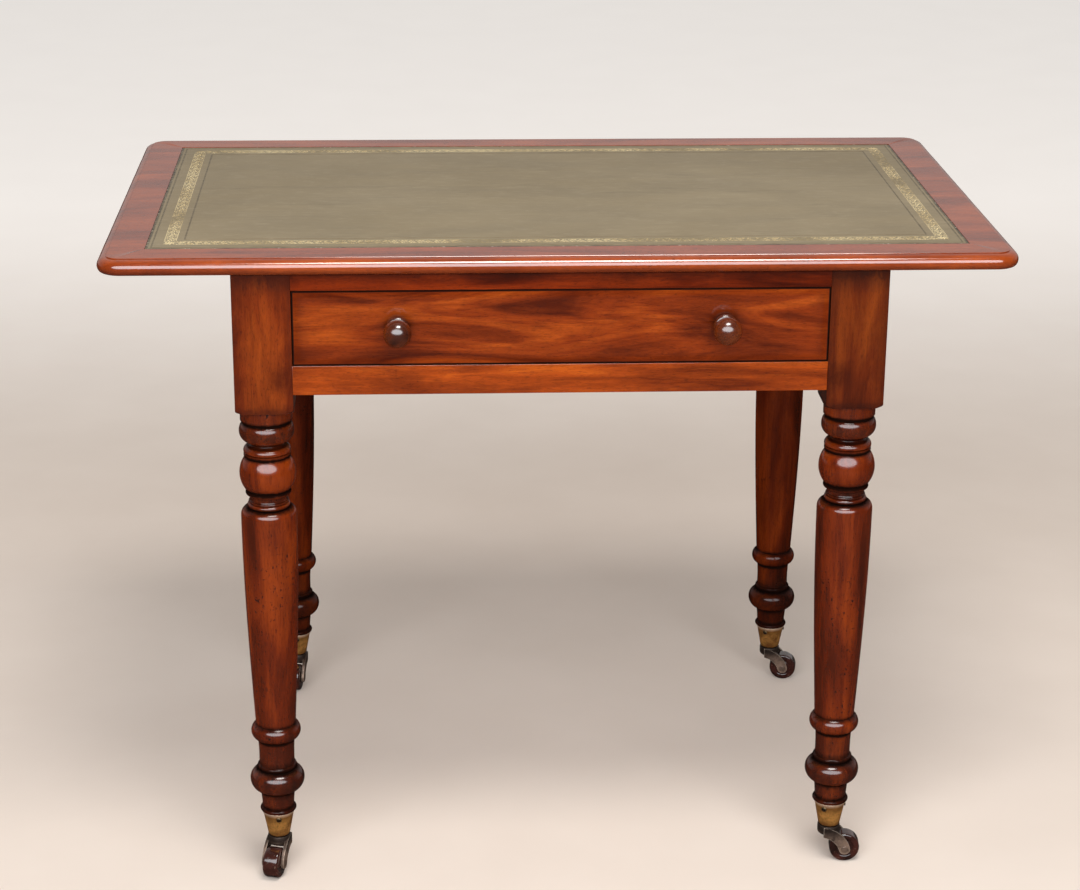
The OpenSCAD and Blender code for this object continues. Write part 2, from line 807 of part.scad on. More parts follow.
// Places of the screws that hold the top: three in each kicker and two in the front top rail
module top_screw_places() {
    for (s = [-1, 1]) {
        for (i = [-1:1])
            translate([
                s * (leg_x + rail_inside - runner_w / 2),
                i * (kicker_half - top_screw_inset),
                opening_top_z
            ])
                children();
        translate([s * opening_x / 2, -leg_y, opening_top_z])
            children();
    }
}

module top_screws() {
    color(steel)
        in_place()
            top_screw_places() wood_screw(screw_r, top_screw_l);
}

// Dovetails of a drawer side in the plane of the side: x runs back from their ends, y is height
module tails(l, z0, h, grow) {
    pitch = h / dovetail_count;
    wide = pitch * dovetail_share / 2 + grow;
    far = l + cut;
    narrow = wide - dovetail_lean * far / l;
    for (i = [0:dovetail_count - 1])
        translate([0, z0 + (i + 0.5) * pitch])
            polygon([[-grow, -wide], [far, -narrow], [far, narrow], [-grow, wide]]);
}

// Dovetails at the front of the sides, extruded through the thickness of a side
module front_tails(grow) {
    translate([drawer_x + cut * sign(grow), 0, 0])
        rotate([90, 0, -90])
            linear_extrude(drawer_side_t + cut * sign(grow))
                mirror([1, 0])
                    translate([tail_y, 0])
                        tails(front_in_y - tail_y, side_z, side_h, grow);
}

// Dovetails at the back of the sides
module back_tails(grow) {
    translate([drawer_x + cut * sign(grow), 0, 0])
        rotate([90, 0, -90])
            linear_extrude(drawer_side_t + cut * sign(grow))
                translate([-back_out_y, 0])
                    tails(drawer_back_t, back_z, back_h, grow);
}

module drawer_front() {
    color(mahogany)
        in_place()
            difference() {
                block(
                    [-drawer_x, -front_y, opening_z + drawer_gap],
                    [drawer_x, front_in_y, opening_top_z - drawer_gap]
                );
                for (m = [0, 1])
                    mirror([m, 0, 0])
                        front_tails(joint_gap);
                block(
                    [-bottom_half, front_in_y - groove_d - joint_gap, bottom_z],
                    [bottom_half, front_in_y + cut, bottom_z + drawer_bottom_t + joint_gap]
                );
                for (x = [-1, 1])
                    translate([x * knob_x, front_in_y + cut, knob_z])
                        rotate([90, 0, 0])
                            cylinder(r = knob_spigot_r + joint_gap / 2, h = drawer_front_t + 2 * cut);
            }
}

module drawer_side(s) {
    color(oak)
        at_side(s) {
            block(
                [drawer_x - drawer_side_t, front_in_y, side_z],
                [drawer_x, back_in_y, side_z + side_h]
            );
            block(
                [drawer_x - drawer_side_t, back_in_y - cut, side_z],
                [drawer_x, back_out_y, back_z - joint_gap]
            );
            block(
                [drawer_x - drawer_side_t, back_in_y - cut, back_z + back_h + joint_gap],
                [drawer_x, back_out_y, side_z + side_h]
            );
            front_tails(0);
            back_tails(0);
        }
}

module drawer_back() {
    color(oak)
        in_place()
            difference() {
                block(
                    [-drawer_x, back_in_y + joint_gap, back_z],
                    [drawer_x, back_out_y, back_z + back_h]
                );
                for (m = [0, 1])
                    mirror([m, 0, 0])
                        back_tails(joint_gap);
                bottom_screw_places() wood_screw(small_screw_r, bottom_screw_l, screw_gap);
            }
}

module drawer_bottom() {
    color(oak)
        in_place()
            difference() {
                block(
                    [-bottom_half + joint_gap, front_in_y - groove_d, bottom_z + joint_gap / 2],
                    [bottom_half - joint_gap, back_out_y, bottom_z + drawer_bottom_t]
                );
                bottom_screw_places() wood_screw(small_screw_r, bottom_screw_l, screw_gap);
            }
}

module bottom_screw_places() {
    for (i = [-1:1])
        translate([i * bottom_screw_pitch, back_out_y - drawer_back_t / 2, bottom_z + joint_gap / 2])
            children();
}

module drawer_bottom_screws() {
    color(brass)
        in_place()
            bottom_screw_places() wood_screw(small_screw_r, bottom_screw_l);
}

// Grooved slips glued inside the drawer sides, with a rounded upper inside edge
module drawer_slips() {
    slip_l = back_in_y - front_in_y - joint_gap;
    color(oak)
        for (s = SIDES)
            at_side(s)
                translate([drawer_x - drawer_side_t, front_in_y + slip_l, side_z])
                    rotate([90, 0, 0])
                        linear_extrude(slip_l)
                            difference() {
                                polygon(concat(
                                    [[0, 0], [0, slip_h]],
                                    bow(-slip_w + slip_lip, slip_h - slip_lip,
                                        slip_lip, slip_lip, 90, 180, 6),
                                    [[-slip_w, 0]]
                                ));
                                translate([-slip_w - cut, drawer_bottom_z])
                                    square([groove_d + cut, drawer_bottom_t + joint_gap]);
                            }
}

// A turned knob: collar against the drawer front, neck, round head, and a spigot in the drawer front
module drawer_knob(s) {
    head_z = knob_l - knob_head_l;
    widest_z = head_z + knob_head_l * 0.43;
    half_h = knob_collar_h / 2;
    color(dark_mahogany)
        in_place()
            translate([s[1] * knob_x, -front_y, knob_z])
                rotate([90, 0, 0])
                    rotate_extrude()
                        polygon(concat(
                            [[0, 1 - drawer_front_t], [knob_spigot_r, 1 - drawer_front_t]],
                            [[knob_spigot_r, 0]],
                            bow(knob_collar_r - half_h, half_h, half_h, half_h, -90, 72, 10),
                            [[knob_neck_r + 0.6, knob_collar_h + 0.6], [knob_neck_r, knob_collar_h + 2.4]],
                            [[knob_neck_r, head_z - 0.8]],
                            bow(knob_neck_r, widest_z, knob_r - knob_neck_r, widest_z - head_z, -84, 0, 8),
                            bow(0, widest_z, knob_r, knob_l - widest_z, 10, 90, 12)
                        ));
}

module castor_cup(c) {
    lip = cup_rim_h / 3;
    bore_r = pin_r + pin_gap;
    color(brass)
        on_axis(c, 0)
            difference() {
                rotate_extrude()
                    polygon(concat(
                        [[bore_r, cup_z]],
                        bow(cup_foot_r - cup_round, cup_z + cup_round, cup_round, cup_round, -90, -10, 6),
                        [[cup_top_r, cup_top_z - cup_rim_h]],
                        bow(cup_rim_r - lip, cup_top_z - cup_rim_h + lip, lip, lip, -60, 0, 3),
                        bow(cup_rim_r - lip, cup_top_z - lip, lip, lip, 0, 90, 4),
                        [[cup_top_r - cup_wall, cup_top_z]],
                        [[cup_r(cup_top_z - cup_rim_h) - cup_wall, cup_top_z - cup_rim_h]],
                        [[cup_r(cup_inside_z) - cup_wall, cup_inside_z], [bore_r, cup_inside_z]]
                    ));
                cup_screw_places(c)
                    translate([0, 0, -cut])
                        cylinder(r = small_screw_r + screw_gap, h = 2 * cut + 2 * cup_wall);
            }
}

// Domed screws through the wall of a cup into the end of the leg, with a slot in each head
module castor_cup_screws(c) {
    head_r = 2 * small_screw_r;
    head_h = head_r * 0.45;
    seat = 0.45;
    color(bronze)
        on_axis(c, 0)
            cup_screw_places(c)
                difference() {
                    rotate_extrude()
                        polygon(concat(
                            [[0, small_screw_l], [small_screw_r, small_screw_l - 2]],
                            [[small_screw_r, -seat], [head_r, -seat]],
                            bow(0, -seat, head_r, -head_h, 12, 90, 5)
                        ));
                    translate([-head_r, -slot_w / 2, -seat - head_h - cut])
                        cube([2 * head_r, slot_w, cut + head_h * 0.5]);
                }
}

// One horn of a fork from the side: it springs from the hub, bows over the wheel and ends at the axle
module horn_outline() {
    difference() {
        polygon(concat(
            bow(sweep_x, sweep_z, horn_sweep_r + horn_end_r, horn_sweep_r + horn_end_r, sweep_turn, 100, 24),
            bow(sweep_x, sweep_z, horn_sweep_r - horn_end_r, horn_sweep_r - horn_end_r, 100, sweep_turn, 18)
        ));
        translate([-saddle_back - 2 * trail, -trail]) square([2 * trail, 4 * trail]);
    }
    translate([trail, wheel_r]) circle(horn_end_r);
}

module saddle_outline() {
    intersection() {
        horn_outline();
        translate([-hub_r, hub_z]) square([hub_r + saddle_x, 3 * hub_h]);
    }
}

module castor_fork(c) {
    color(bronze)
        on_axis(c, heading(c))
            difference() {
                union() {
                    rotate_extrude()
                        polygon(concat(
                            [[0, hub_z]],
                            bow(hub_r - hub_round, hub_z + hub_round, hub_round, hub_round, -90, 0, 6),
                            [[hub_r, fork_top_z - 0.6], [hub_r - 0.6, fork_top_z], [0, fork_top_z]]
                        ));
                    translate([0, horn_out, 0])
                        rotate([90, 0, 0])
                            linear_extrude(2 * horn_out) saddle_outline();
                    for (m = [0, 1])
                        mirror([0, m, 0])
                            translate([0, horn_out, 0])
                                rotate([90, 0, 0])
                                    linear_extrude(horn_t) horn_outline();
                }
                translate([trail, horn_in, wheel_r])
                    rotate([90, 0, 0])
                        cylinder(r = wheel_r + wheel_clear, h = 2 * horn_in);
                translate([trail, horn_out + cut, wheel_r])
                    rotate([90, 0, 0])
                        cylinder(r = axle_r + screw_gap / 2, h = 2 * (horn_out + cut));
                translate([0, 0, hub_z - cut])
                    cylinder(r = pin_r + screw_gap / 2, h = hub_h + 2 * cut);
            }
}

// Pin riveted under the hub of the fork, turning in the floor of the cup
module castor_swivel_pin(c) {
    head_z = cup_inside_z + swivel_gap;
    rivet_r = pin_r + 1.2;
    color(steel)
        on_axis(c, 0)
            rotate_extrude()
                polygon([
                    [0, hub_z - 1.2], [pin_r, hub_z - 1.2], [rivet_r, hub_z - 0.4], [rivet_r, hub_z],
                    [pin_r, hub_z], [pin_r, head_z], [pin_head_r, head_z],
                    [pin_head_r, head_z + pin_head_h * 0.6], [pin_head_r - 1.4, head_z + pin_head_h],
                    [0, head_z + pin_head_h]
                ]);
}

module castor_axle(c) {
    color(steel)
        on_axis(c, heading(c))
            translate([trail, 0, wheel_r])
                rotate([90, 0, 0])
                    rotate_extrude()
                        polygon([
                            [0, -horn_out - axle_head_h], [axle_head_r - 0.8, -horn_out - axle_head_h],
                            [axle_head_r, -horn_out - axle_head_h / 3], [axle_head_r, -horn_out],
                            [axle_r, -horn_out], [axle_r, horn_out], [axle_head_r, horn_out],
                            [axle_head_r, horn_out + axle_head_h / 3],
                            [axle_head_r - 0.8, horn_out + axle_head_h], [0, horn_out + axle_head_h]
                        ]);
}

module castor_wheel(c) {
    bore_r = axle_r + axle_gap;
    half_w = wheel_w / 2;
    groove = 0.8;
    color(brown_glaze)
        on_axis(c, heading(c))
            translate([trail, 0, wheel_r])
                rotate([90, 0, 0])
                    rotate_extrude()
                        polygon(concat(
                            [[bore_r, -half_w], [wheel_r * 0.44, -half_w]],
                            [[wheel_r * 0.5, -half_w + groove], [wheel_r * 0.6, -half_w + groove]],
                            [[wheel_r * 0.66, -half_w + groove / 4]],
                            bow(wheel_r - wheel_edge_r, -half_w + groove / 4 + wheel_edge_r,
                                wheel_edge_r, wheel_edge_r, -90, 0, 5),
                            bow(wheel_r - wheel_edge_r, half_w - groove / 4 - wheel_edge_r,
                                wheel_edge_r, wheel_edge_r, 0, 90, 5),
                            [[wheel_r * 0.66, half_w - groove / 4], [wheel_r * 0.6, half_w - groove]],
                            [[wheel_r * 0.5, half_w - groove], [wheel_r * 0.44, half_w], [bore_r, half_w]]
                        ));
}

table_top();
leather_writing_surface();
front_top_rail();
front_lower_rail();
back_rail();
drawer_stops();
glue_blocks();
top_screws();
drawer_front();
drawer_back();
drawer_bottom();
drawer_slips();
drawer_bottom_screws();
for (s = SIDES) {
    side_rail(s);
    drawer_runner(s);
    drawer_guide(s);
    drawer_kicker(s);
    drawer_side(s);
    drawer_knob(s);
}
for (c = CORNERS) {
    leg(c);
    castor_cup(c);
    castor_cup_screws(c);
    castor_fork(c);
    castor_swivel_pin(c);
    castor_axle(c);
    castor_wheel(c);
}
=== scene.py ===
# %% [markdown]
# # Dressing a writing table
# The construction model is already exact: every board, leg and castor is a solid in its place. What it
# lacks is what hands, lathe, wax and a century of use gave the real table. This lesson loads the solids
# as a fixed frame, replaces those whose surface matters most with finer pieces, and mixes a procedural
# finish for each wood, leather, metal and glaze.

# %% Load the solids as the frame
import math
import random

import bmesh
import bpy
from mathutils import Matrix, Vector


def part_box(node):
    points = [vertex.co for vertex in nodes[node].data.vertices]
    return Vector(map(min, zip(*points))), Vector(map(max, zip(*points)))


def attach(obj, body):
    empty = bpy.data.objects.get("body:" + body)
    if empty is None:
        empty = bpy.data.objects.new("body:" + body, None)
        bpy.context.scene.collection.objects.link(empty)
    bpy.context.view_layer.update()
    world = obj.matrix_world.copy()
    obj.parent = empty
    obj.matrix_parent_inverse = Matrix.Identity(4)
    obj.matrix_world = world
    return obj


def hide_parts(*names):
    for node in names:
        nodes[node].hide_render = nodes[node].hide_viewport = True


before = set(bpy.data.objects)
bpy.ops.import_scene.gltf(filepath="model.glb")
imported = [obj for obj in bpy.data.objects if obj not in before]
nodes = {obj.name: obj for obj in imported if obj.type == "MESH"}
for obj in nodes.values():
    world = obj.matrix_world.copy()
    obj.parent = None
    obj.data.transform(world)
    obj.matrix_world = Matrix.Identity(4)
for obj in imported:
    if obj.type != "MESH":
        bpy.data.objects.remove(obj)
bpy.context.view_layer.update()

# %% [markdown]
# ## Sizes the pieces share
# The maker's drawing is in millimetres and Blender works in metres. One constant turns one into the
# other, and the few sizes the fine pieces need are written once, under the names of the real parts.

# %% Sizes of the table
MM = 0.001
TOP_W, TOP_D, TOP_H, TOP_T = 965, 572, 725, 17
TOP_CORNER = 26
MOULD_W, MOULD_STEP, MOULD_UNDER, MOULD_UNDER_H = 9.5, 1.2, 5, 7
LEATHER_MARGIN, LEATHER_T, LEATHER_SINK, LEATHER_CORNER = 47.5, 1.0, 0.2, 4
BLIND_LINES = (6.2, 39.0)
BLOCK_W, BLOCK_Z, UNDER_Z = 61.5, 555, 708
LEG_X, LEG_Y = 313.25, 248.75
CUP_Z, CUP_TOP = 44.5, 75.5
TRAIL, WHEEL_R = 18.5, 17
CENTRE_Y = 14.75
CORNERS = {  # which side of the middle the leg stands on, and where its castor heads, in degrees
    "front_left": (-1, -1, -107),
    "front_right": (1, -1, -5),
    "back_left": (-1, 1, -100),
    "back_right": (1, 1, -11),
}


def leg_axis(corner):
    """Where a leg's axis stands on the floor, in metres."""
    side_x, side_y, _ = CORNERS[corner]
    return Vector((side_x * LEG_X, CENTRE_Y + side_y * LEG_Y, 0)) * MM


print("leg axes:", {c: [round(v, 4) for v in leg_axis(c)[:2]] for c in CORNERS})

# %% [markdown]
# ## Mixing a finish
# A finish here is a chain of a few procedural textures: where the pattern lies (a mapping of the object's
# own coordinates), how it varies (noise), which colours it runs between (a ramp) and how it stands up from
# the surface (bump). Graph adds nodes to any tree, and Finish knows the steps of a material, so that each
# recipe keeps to a few readable lines.

# %% Helpers for node trees and finishes
class Graph:
    """A node tree in the making: each call adds one node."""

    def __init__(self, tree):
        self.tree = tree

    def feed(self, socket, value):
        """Links another node's output to a socket, or sets the socket to a constant."""
        if isinstance(value, bpy.types.NodeSocket):
            self.tree.links.new(value, socket)
        else:
            socket.default_value = (*value, 1)[:4] if socket.type == "RGBA" else value

    def node(self, kind, inputs=None, **settings):
        """Adds a node with its settings and inputs."""
        made = self.tree.nodes.new(kind)
        for key, value in settings.items():
            setattr(made, key, value)
        for key, value in (inputs or {}).items():
            self.feed(made.inputs[key], value)
        return made

    def step(self, kind, inputs=None, **settings):
        """Adds a node and returns its first output."""
        return self.node(kind, inputs, **settings).outputs[0]

    def sum(self, first, second, way="ADD"):
        """Two numbers added, or put together in another way."""
        return self.step("ShaderNodeMath", {0: first, 1: second}, operation=way)


class Finish(Graph):
    """A material in the making, laid out in the object's own coordinates."""

    def __init__(self, name):
        self.material = bpy.data.materials.new(name)
        self.material.use_nodes = True
        super().__init__(self.material.node_tree)
        self.shader = self.tree.nodes["Principled BSDF"]
        self.where = self.node("ShaderNodeTexCoord").outputs["Object"]

    def axis(self, name):
        """One of the object's own coordinates, in metres."""
        return self.node("ShaderNodeSeparateXYZ", {0: self.where}).outputs[name]

    def stretched(self, x, y, z):
        """Object coordinates scaled along each axis: a small number draws the pattern out along it."""
        return self.step("ShaderNodeMapping", {"Vector": self.where, "Scale": (x, y, z)})

    def grained(self, grain, length, width, shift):
        """Coordinates for a pattern of a given length along the grain and width across it."""
        scales = [1 / width] * 3
        scales["XYZ".index(grain)] = 1 / length
        return self.step("ShaderNodeVectorMath", {0: self.stretched(*scales), 1: shift}, operation="ADD")

    def noise(self, where, scale=1.0, detail=4.0, rough=0.55, twist=0.0):
        made = self.node("ShaderNodeTexNoise", {
            "Vector": where, "Scale": scale, "Detail": detail, "Roughness": rough, "Distortion": twist})
        return made.outputs["Fac"]

    def ramp(self, value, stops):
        """Runs a value through colours, or through greys when a stop's colour is one number."""
        made = self.node("ShaderNodeValToRGB", {"Fac": value})
        marks = made.color_ramp.elements
        while len(marks) < len(stops):
            marks.new(0.5)
        for mark, (place, colour) in zip(marks, stops):
            mark.position = place
            mark.color = (*colour, 1) if isinstance(colour, tuple) else (colour, colour, colour, 1)
        return made.outputs["Color"]

    def blend(self, amount, first, second, way="MIX"):
        made = self.node("ShaderNodeMix", {0: amount, 6: first, 7: second}, data_type="RGBA", blend_type=way)
        return made.outputs[2]

    def layered(self, tone, *layers):
        """Lays colours over a tone: each as a pattern, the stops that give its strength, and the colour."""
        for pattern, stops, colour in layers:
            tone = self.blend(self.ramp(pattern, stops), tone, colour)
        return tone

    def hollows(self, reach, samples=8):
        """1 in the open, falling to 0 in grooves and corners: where old wax and tarnish gather, and where
        shade is painted.
        """
        return self.node("ShaderNodeAmbientOcclusion", {"Distance": reach}, samples=samples).outputs["AO"]

    def edges(self, reach, samples=6):
        """1 on broad faces, falling towards 0 at outer edges, where polish wears through and where dirt,
        shade and highlights are painted.
        """
        made = self.node("ShaderNodeAmbientOcclusion", {"Distance": reach}, samples=samples, inside=True)
        return made.outputs["AO"]

    def outline(self, box, width, axes="XZ", soft=0.4):
        """1 in a line of a given width round a face that fills a box in two axes, 0 inside it.

        soft is the share of the width over which the line fades."""
        out = 0.0
        for axis in axes:
            least, most = (corner["XYZ".index(axis)] for corner in box)
            off = self.sum(self.sum(self.axis(axis), (least + most) / 2, "SUBTRACT"), 0.0, "ABSOLUTE")
            out = self.sum(self.sum(off, (most - least) / 2 - width, "SUBTRACT"), out, "MAXIMUM")
        fade = {"Value": out, "From Min": 0.0, "From Max": width * soft}
        return self.step("ShaderNodeMapRange", fade)

    def bump(self, *heights):
        """Stacks (height, strength, distance in metres) one on another and gives the shader the result."""
        below = {}
        for height, strength, distance in heights:
            below = {"Normal": self.step("ShaderNodeBump", {
                "Height": height, "Strength": strength, "Distance": distance, **below})}
        self.feed(self.shader.inputs["Normal"], below["Normal"])

    def finish(self, colour, roughness, **others):
        """Gives the shader its colour, roughness and other inputs, and returns the material."""
        for key, value in {"Base Color": colour, "Roughness": roughness, **others}.items():
            self.feed(self.shader.inputs[key.replace("_", " ")], value)
        return self.material


print("helpers for node trees ready")

# %% [markdown]
# ## French-polished mahogany
# Mahogany shows three scales at once: broad soft figure, ribbon streaks along the grain, and short dark
# pores. The grain runs along one axis of the board, so the same recipe is stretched along X, Y or Z.
# The shellac polish is a clear coat over the colour. Old wax lies dark in every hollow and dulls the coat
# there; the same dark is painted shade in hollows, corners and round the knobs. Ambient occlusion finds
# the hollows and, from the inside, the rounded edges, which are painted darker as handling dirt and as
# painted shade. Two kinds of band at set heights help it: grooves packed with wax and painted shade, and
# darker bands, which are painted shadow under the top and the nose, and darker bands low on the legs and
# round the upper turnings.

# %% Mahogany recipe
# Near black: old wax and dirt, and painted shade in hollows, grooves and the drawer's gap.
WAX_AND_SHADE_BLACK = (0.008, 0.0035, 0.0025)
PORE = (0.020, 0.005, 0.002)
BAND_GAIN = 2.2
SEAM_SHADOW_LINE, SEAM_MARGIN = 1.8, 9


def mahogany(name, grain, light, middle, dark, wax_and_shade=0.85, wax_and_shade_reach=0.008, figure=1.0, shine=0.12,
             coat=0.35, level=0.06, specks=0.35, edge_soil_and_shade=0.5, edge_soil_and_shade_reach=0.014, shadowed_seam=None, grooves=(),
             darker_bands=(), uneven=1.0, blotch=0.45, seed=0.0):
    """Polished mahogany between three tones. Bands are (height, half width, depth) in millimetres."""
    wood = Finish(name)

    def run(length, width):
        return wood.grained(grain, length, width, (seed, seed * 1.7, seed * 0.6))

    broad = wood.noise(run(0.20, 0.038), 1.0, 4.0, 0.55, 0.7 * figure)
    streak = wood.noise(run(0.08, 0.005), 1.0, 5.0, 0.65, 0.8 * figure)
    fibre = wood.noise(run(0.026, 0.0012), 1.0, 4.0, 0.7)
    pores = wood.noise(run(0.006, 0.0004), 1.0, 2.0, 0.5)
    marks = wood.noise(run(0.014, 0.008), 1.0, 4.0, 0.7, 1.2)
    pits = wood.noise(run(0.0045, 0.0030), 1.0, 2.0, 0.5, 0.4)
    patch = wood.noise(wood.where, 9.0, 3.0, 0.55)

    tone = wood.layered(
        wood.ramp(broad, [(0.31, dark), (0.49, middle), (0.68, light)]),
        (patch, [(0.50, 0.0), (0.66, blotch)], dark),
        (streak, [(0.32, 0.38), (0.52, 0.0)], dark),
        (streak, [(0.60, 0.0), (0.76, 0.25)], light),
        (fibre, [(0.30, 0.26), (0.50, 0.0)], dark),
        (fibre, [(0.60, 0.0), (0.80, 0.25)], light),
        (pores, [(0.32, 0.55), (0.43, 0.0)], PORE),
    )
    dents = wood.sum(wood.ramp(marks, [(0.62, 0.0), (0.68, 1.0)]),
                     wood.ramp(pits, [(0.64, 0.0), (0.70, 1.0)]), "MAXIMUM")
    grouped = wood.sum(dents, wood.ramp(patch, [(0.42, 0.0), (0.60, specks)]), "MULTIPLY")
    tone = wood.blend(grouped, tone, WAX_AND_SHADE_BLACK)
    broken = wood.ramp(marks, [(0.30, 0.55), (0.62, 1.0)])
    hollow = wood.hollows(wax_and_shade_reach)
    dulled = wood.ramp(hollow, [(0.30, 0.0), (0.75, coat)])
    height = wood.axis("Z")
    # Bands at set heights: the grooves, painted as wax and shade, also lose their coat; the darker bands only
    # darken.
    for lines in (*darker_bands, *grooves):
        stops = []
        for centre, half, depth in lines:
            stops += [((centre - half) * MM, 0.0), (centre * MM, depth), ((centre + half) * MM, 0.0)]
        band = wood.sum(wood.ramp(height, stops), BAND_GAIN, "MULTIPLY")
        wax_and_shade_band = wood.sum(band, broken, "MULTIPLY")
        tone = wood.blend(wax_and_shade_band, tone, WAX_AND_SHADE_BLACK)
        if lines in grooves:
            dulled = wood.blend(wax_and_shade_band, dulled, (0.0, 0.0, 0.0))
    # Wax and painted shade: hollows, corners between parts and the ground round the knobs are painted near
    # black.
    tone = wood.layered(tone, (hollow, [(0.25, wax_and_shade), (0.85, 0.0)], WAX_AND_SHADE_BLACK))
    # Rounded edges and thin parts are painted darker: dirt from handling and painted shade, which darkens the
    # nose's lower half and leaves the blocks lighter in the middle.
    dirt_and_shade_on_edges = wood.sum(wood.ramp(wood.edges(edge_soil_and_shade_reach), [(0.42, edge_soil_and_shade), (0.90, 0.0)]), broken, "MULTIPLY")
    tone = wood.blend(dirt_and_shade_on_edges, tone, dark)
    # Painted shadow: a near-black line round the drawer front's face, for the gap round the drawer; a wider
    # margin there loses its coat.
    if shadowed_seam:
        fore = wood.step("ShaderNodeMapRange", {
            "Value": wood.axis("Y"), "From Min": shadowed_seam[0].y + 0.7 * MM, "From Max": shadowed_seam[0].y + 2 * MM,
            "To Min": 1.0, "To Max": 0.0})
        line, margin = (wood.sum(wood.outline(shadowed_seam, width * MM), fore, "MULTIPLY")
                        for width in (SEAM_SHADOW_LINE, SEAM_MARGIN))
        tone = wood.blend(line, tone, WAX_AND_SHADE_BLACK)
        dulled = wood.blend(margin, dulled, (0.0, 0.0, 0.0))
    worn = wood.sum(wood.ramp(wood.edges(0.0010), [(0.30, 0.5), (0.60, 0.0)]),
                    wood.ramp(patch, [(0.46, 0.0), (0.60, 1.0)]), "MULTIPLY")
    tone = wood.blend(worn, tone, light)

    rough = wood.ramp(marks, [(0.2, shine + 0.14), (0.8, shine + 0.32)])
    ripple = wood.noise(wood.where, 55.0, 3.0, 0.5)
    wood.bump((ripple, min(1.0, 0.20 * uneven), 0.0004), (pores, 0.30, 0.00008), (marks, 0.25, 0.00012))
    return wood.finish(tone, rough, Coat_Weight=dulled, Coat_Roughness=shine, Coat_IOR=2.0, IOR=1.48,
                       Specular_IOR_Level=level)


def darker_colours(share, *colours):
    """The same colours darker by a share: painted shade on the back legs, a darker tone on the other pieces.
    """
    return tuple(tuple(share * channel for channel in colour) for colour in colours)


TOP_RED = (0.48, 0.088, 0.012), (0.335, 0.053, 0.006), (0.185, 0.024, 0.003)
FRONT_RED = (0.44, 0.078, 0.006), (0.23, 0.030, 0.0025), (0.074, 0.008, 0.001)
LEG_RED = (0.26, 0.036, 0.002), (0.128, 0.014, 0.0008), (0.036, 0.004, 0.0004)
# Near-black bands in the grooves, under the rings and below the ball: wax and painted shade.
LOW_WAX_AND_SHADE_LINES = ((76.3, 2.9, 1.0), (80.8, 2.4, 1.0), (100.8, 4.5, 0.9), (128.4, 3.0, 1.0),
                 (134.6, 3.0, 1.0), (164.4, 4.5, 1.0), (184.6, 3.0, 0.7))
HIGH_WAX_AND_SHADE_LINES = ((440.8, 2.4, 0.9), (449.6, 1.2, 0.4), (454.4, 1.4, 0.5), (461.0, 4.8, 1.0),
                  (499.6, 2.0, 1.0), (514.2, 2.8, 0.7), (538.8, 2.8, 1.0))
# Painted shade: the little step between the top's flat and its nose is painted near black.
STEP_SHADE_LINE = (TOP_H - 0.95 * MOULD_STEP, 0.9 * MOULD_STEP, 1.0)
# Painted shade on the nose's underside, and painted shadow of the top's overhang on the top rail and the tops
# of the blocks; the blocks are also darker just above the turning.
NOSE_SHADE = (709, 7, 0.4)
RAIL_SHADE = (708, 13, 0.34)
BLOCK_SHADE = ((556, 7, 0.3), (708, 26, 0.42))
# Darker bands low on the legs and round the turnings above and below the ball.
FOOT_SHADE = ((112, 78, 0.34),)
UPPER_SHADE = ((454, 12, 0.26), (526, 27, 0.32))

# On the top, the darkened edges and the band under the nose are painted shade on the nose's lower half.
top_wood = mahogany("Top mahogany", "X", *TOP_RED, wax_and_shade=0.6, wax_and_shade_reach=0.004, shine=0.12, coat=1.0, level=0.05,
                    specks=0.5, edge_soil_and_shade=0.85, edge_soil_and_shade_reach=0.013, blotch=0.25,
                    grooves=((STEP_SHADE_LINE,),), darker_bands=((NOSE_SHADE,),))
front_wood = mahogany("Frieze mahogany", "X", (0.69, 0.142, 0.009), (0.36, 0.056, 0.004),
                      (0.12, 0.015, 0.0015), wax_and_shade_reach=0.016, seed=3.1)
# The top rail: darker wood and painted shade, in darker colours than the frieze, with a painted shadow band
# under the top.
dark_rail_wood_in_painted_shade = mahogany("Shaded mahogany", "X", (0.30, 0.034, 0.002), (0.145, 0.014, 0.001),
                     (0.034, 0.003, 0.0005), wax_and_shade_reach=0.016, figure=1.6, coat=0.12, darker_bands=((RAIL_SHADE,),),
                     seed=2.2)
# Wax and painted shade reach far on the drawer front: it is painted dark round the knobs and along the rails.
drawer_wood = mahogany("Drawer front mahogany", "X", *darker_colours(0.90, *FRONT_RED), wax_and_shade=0.9, wax_and_shade_reach=0.02,
                       figure=2.0, edge_soil_and_shade=0.6, blotch=0.32, shadowed_seam=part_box("drawer_front"), seed=12.7)
side_wood = mahogany("Side rail mahogany", "Y", *FRONT_RED, wax_and_shade_reach=0.016, seed=5.2)
# On the blocks, the darkened edges are painted shade round a lighter middle, and the top band is painted
# shadow of the top.
block_wood = mahogany("Leg block mahogany", "Z", *darker_colours(0.76, *FRONT_RED), wax_and_shade_reach=0.016, edge_soil_and_shade=0.85,
                      darker_bands=(BLOCK_SHADE,), seed=6.6)
dark_block_wood = mahogany("Darker leg block mahogany", "Z", *darker_colours(0.46, *FRONT_RED), wax_and_shade_reach=0.016,
                           edge_soil_and_shade=0.85, darker_bands=(BLOCK_SHADE,), seed=8.8)
TURNED = {"wax_and_shade": 0.97, "wax_and_shade_reach": 0.008, "shine": 0.17, "uneven": 3.0, "blotch": 0.15, "level": 0.0,
          "specks": 0.95, "edge_soil_and_shade": 0.4, "edge_soil_and_shade_reach": 0.005, "grooves": (LOW_WAX_AND_SHADE_LINES, HIGH_WAX_AND_SHADE_LINES),
          "darker_bands": (FOOT_SHADE, UPPER_SHADE)}
leg_wood = mahogany("Leg mahogany", "Z", *LEG_RED, coat=0.7, seed=1.3, **TURNED)
right_leg_wood = mahogany("Right leg mahogany", "Z", *LEG_RED, coat=0.7, seed=2.9, **TURNED)
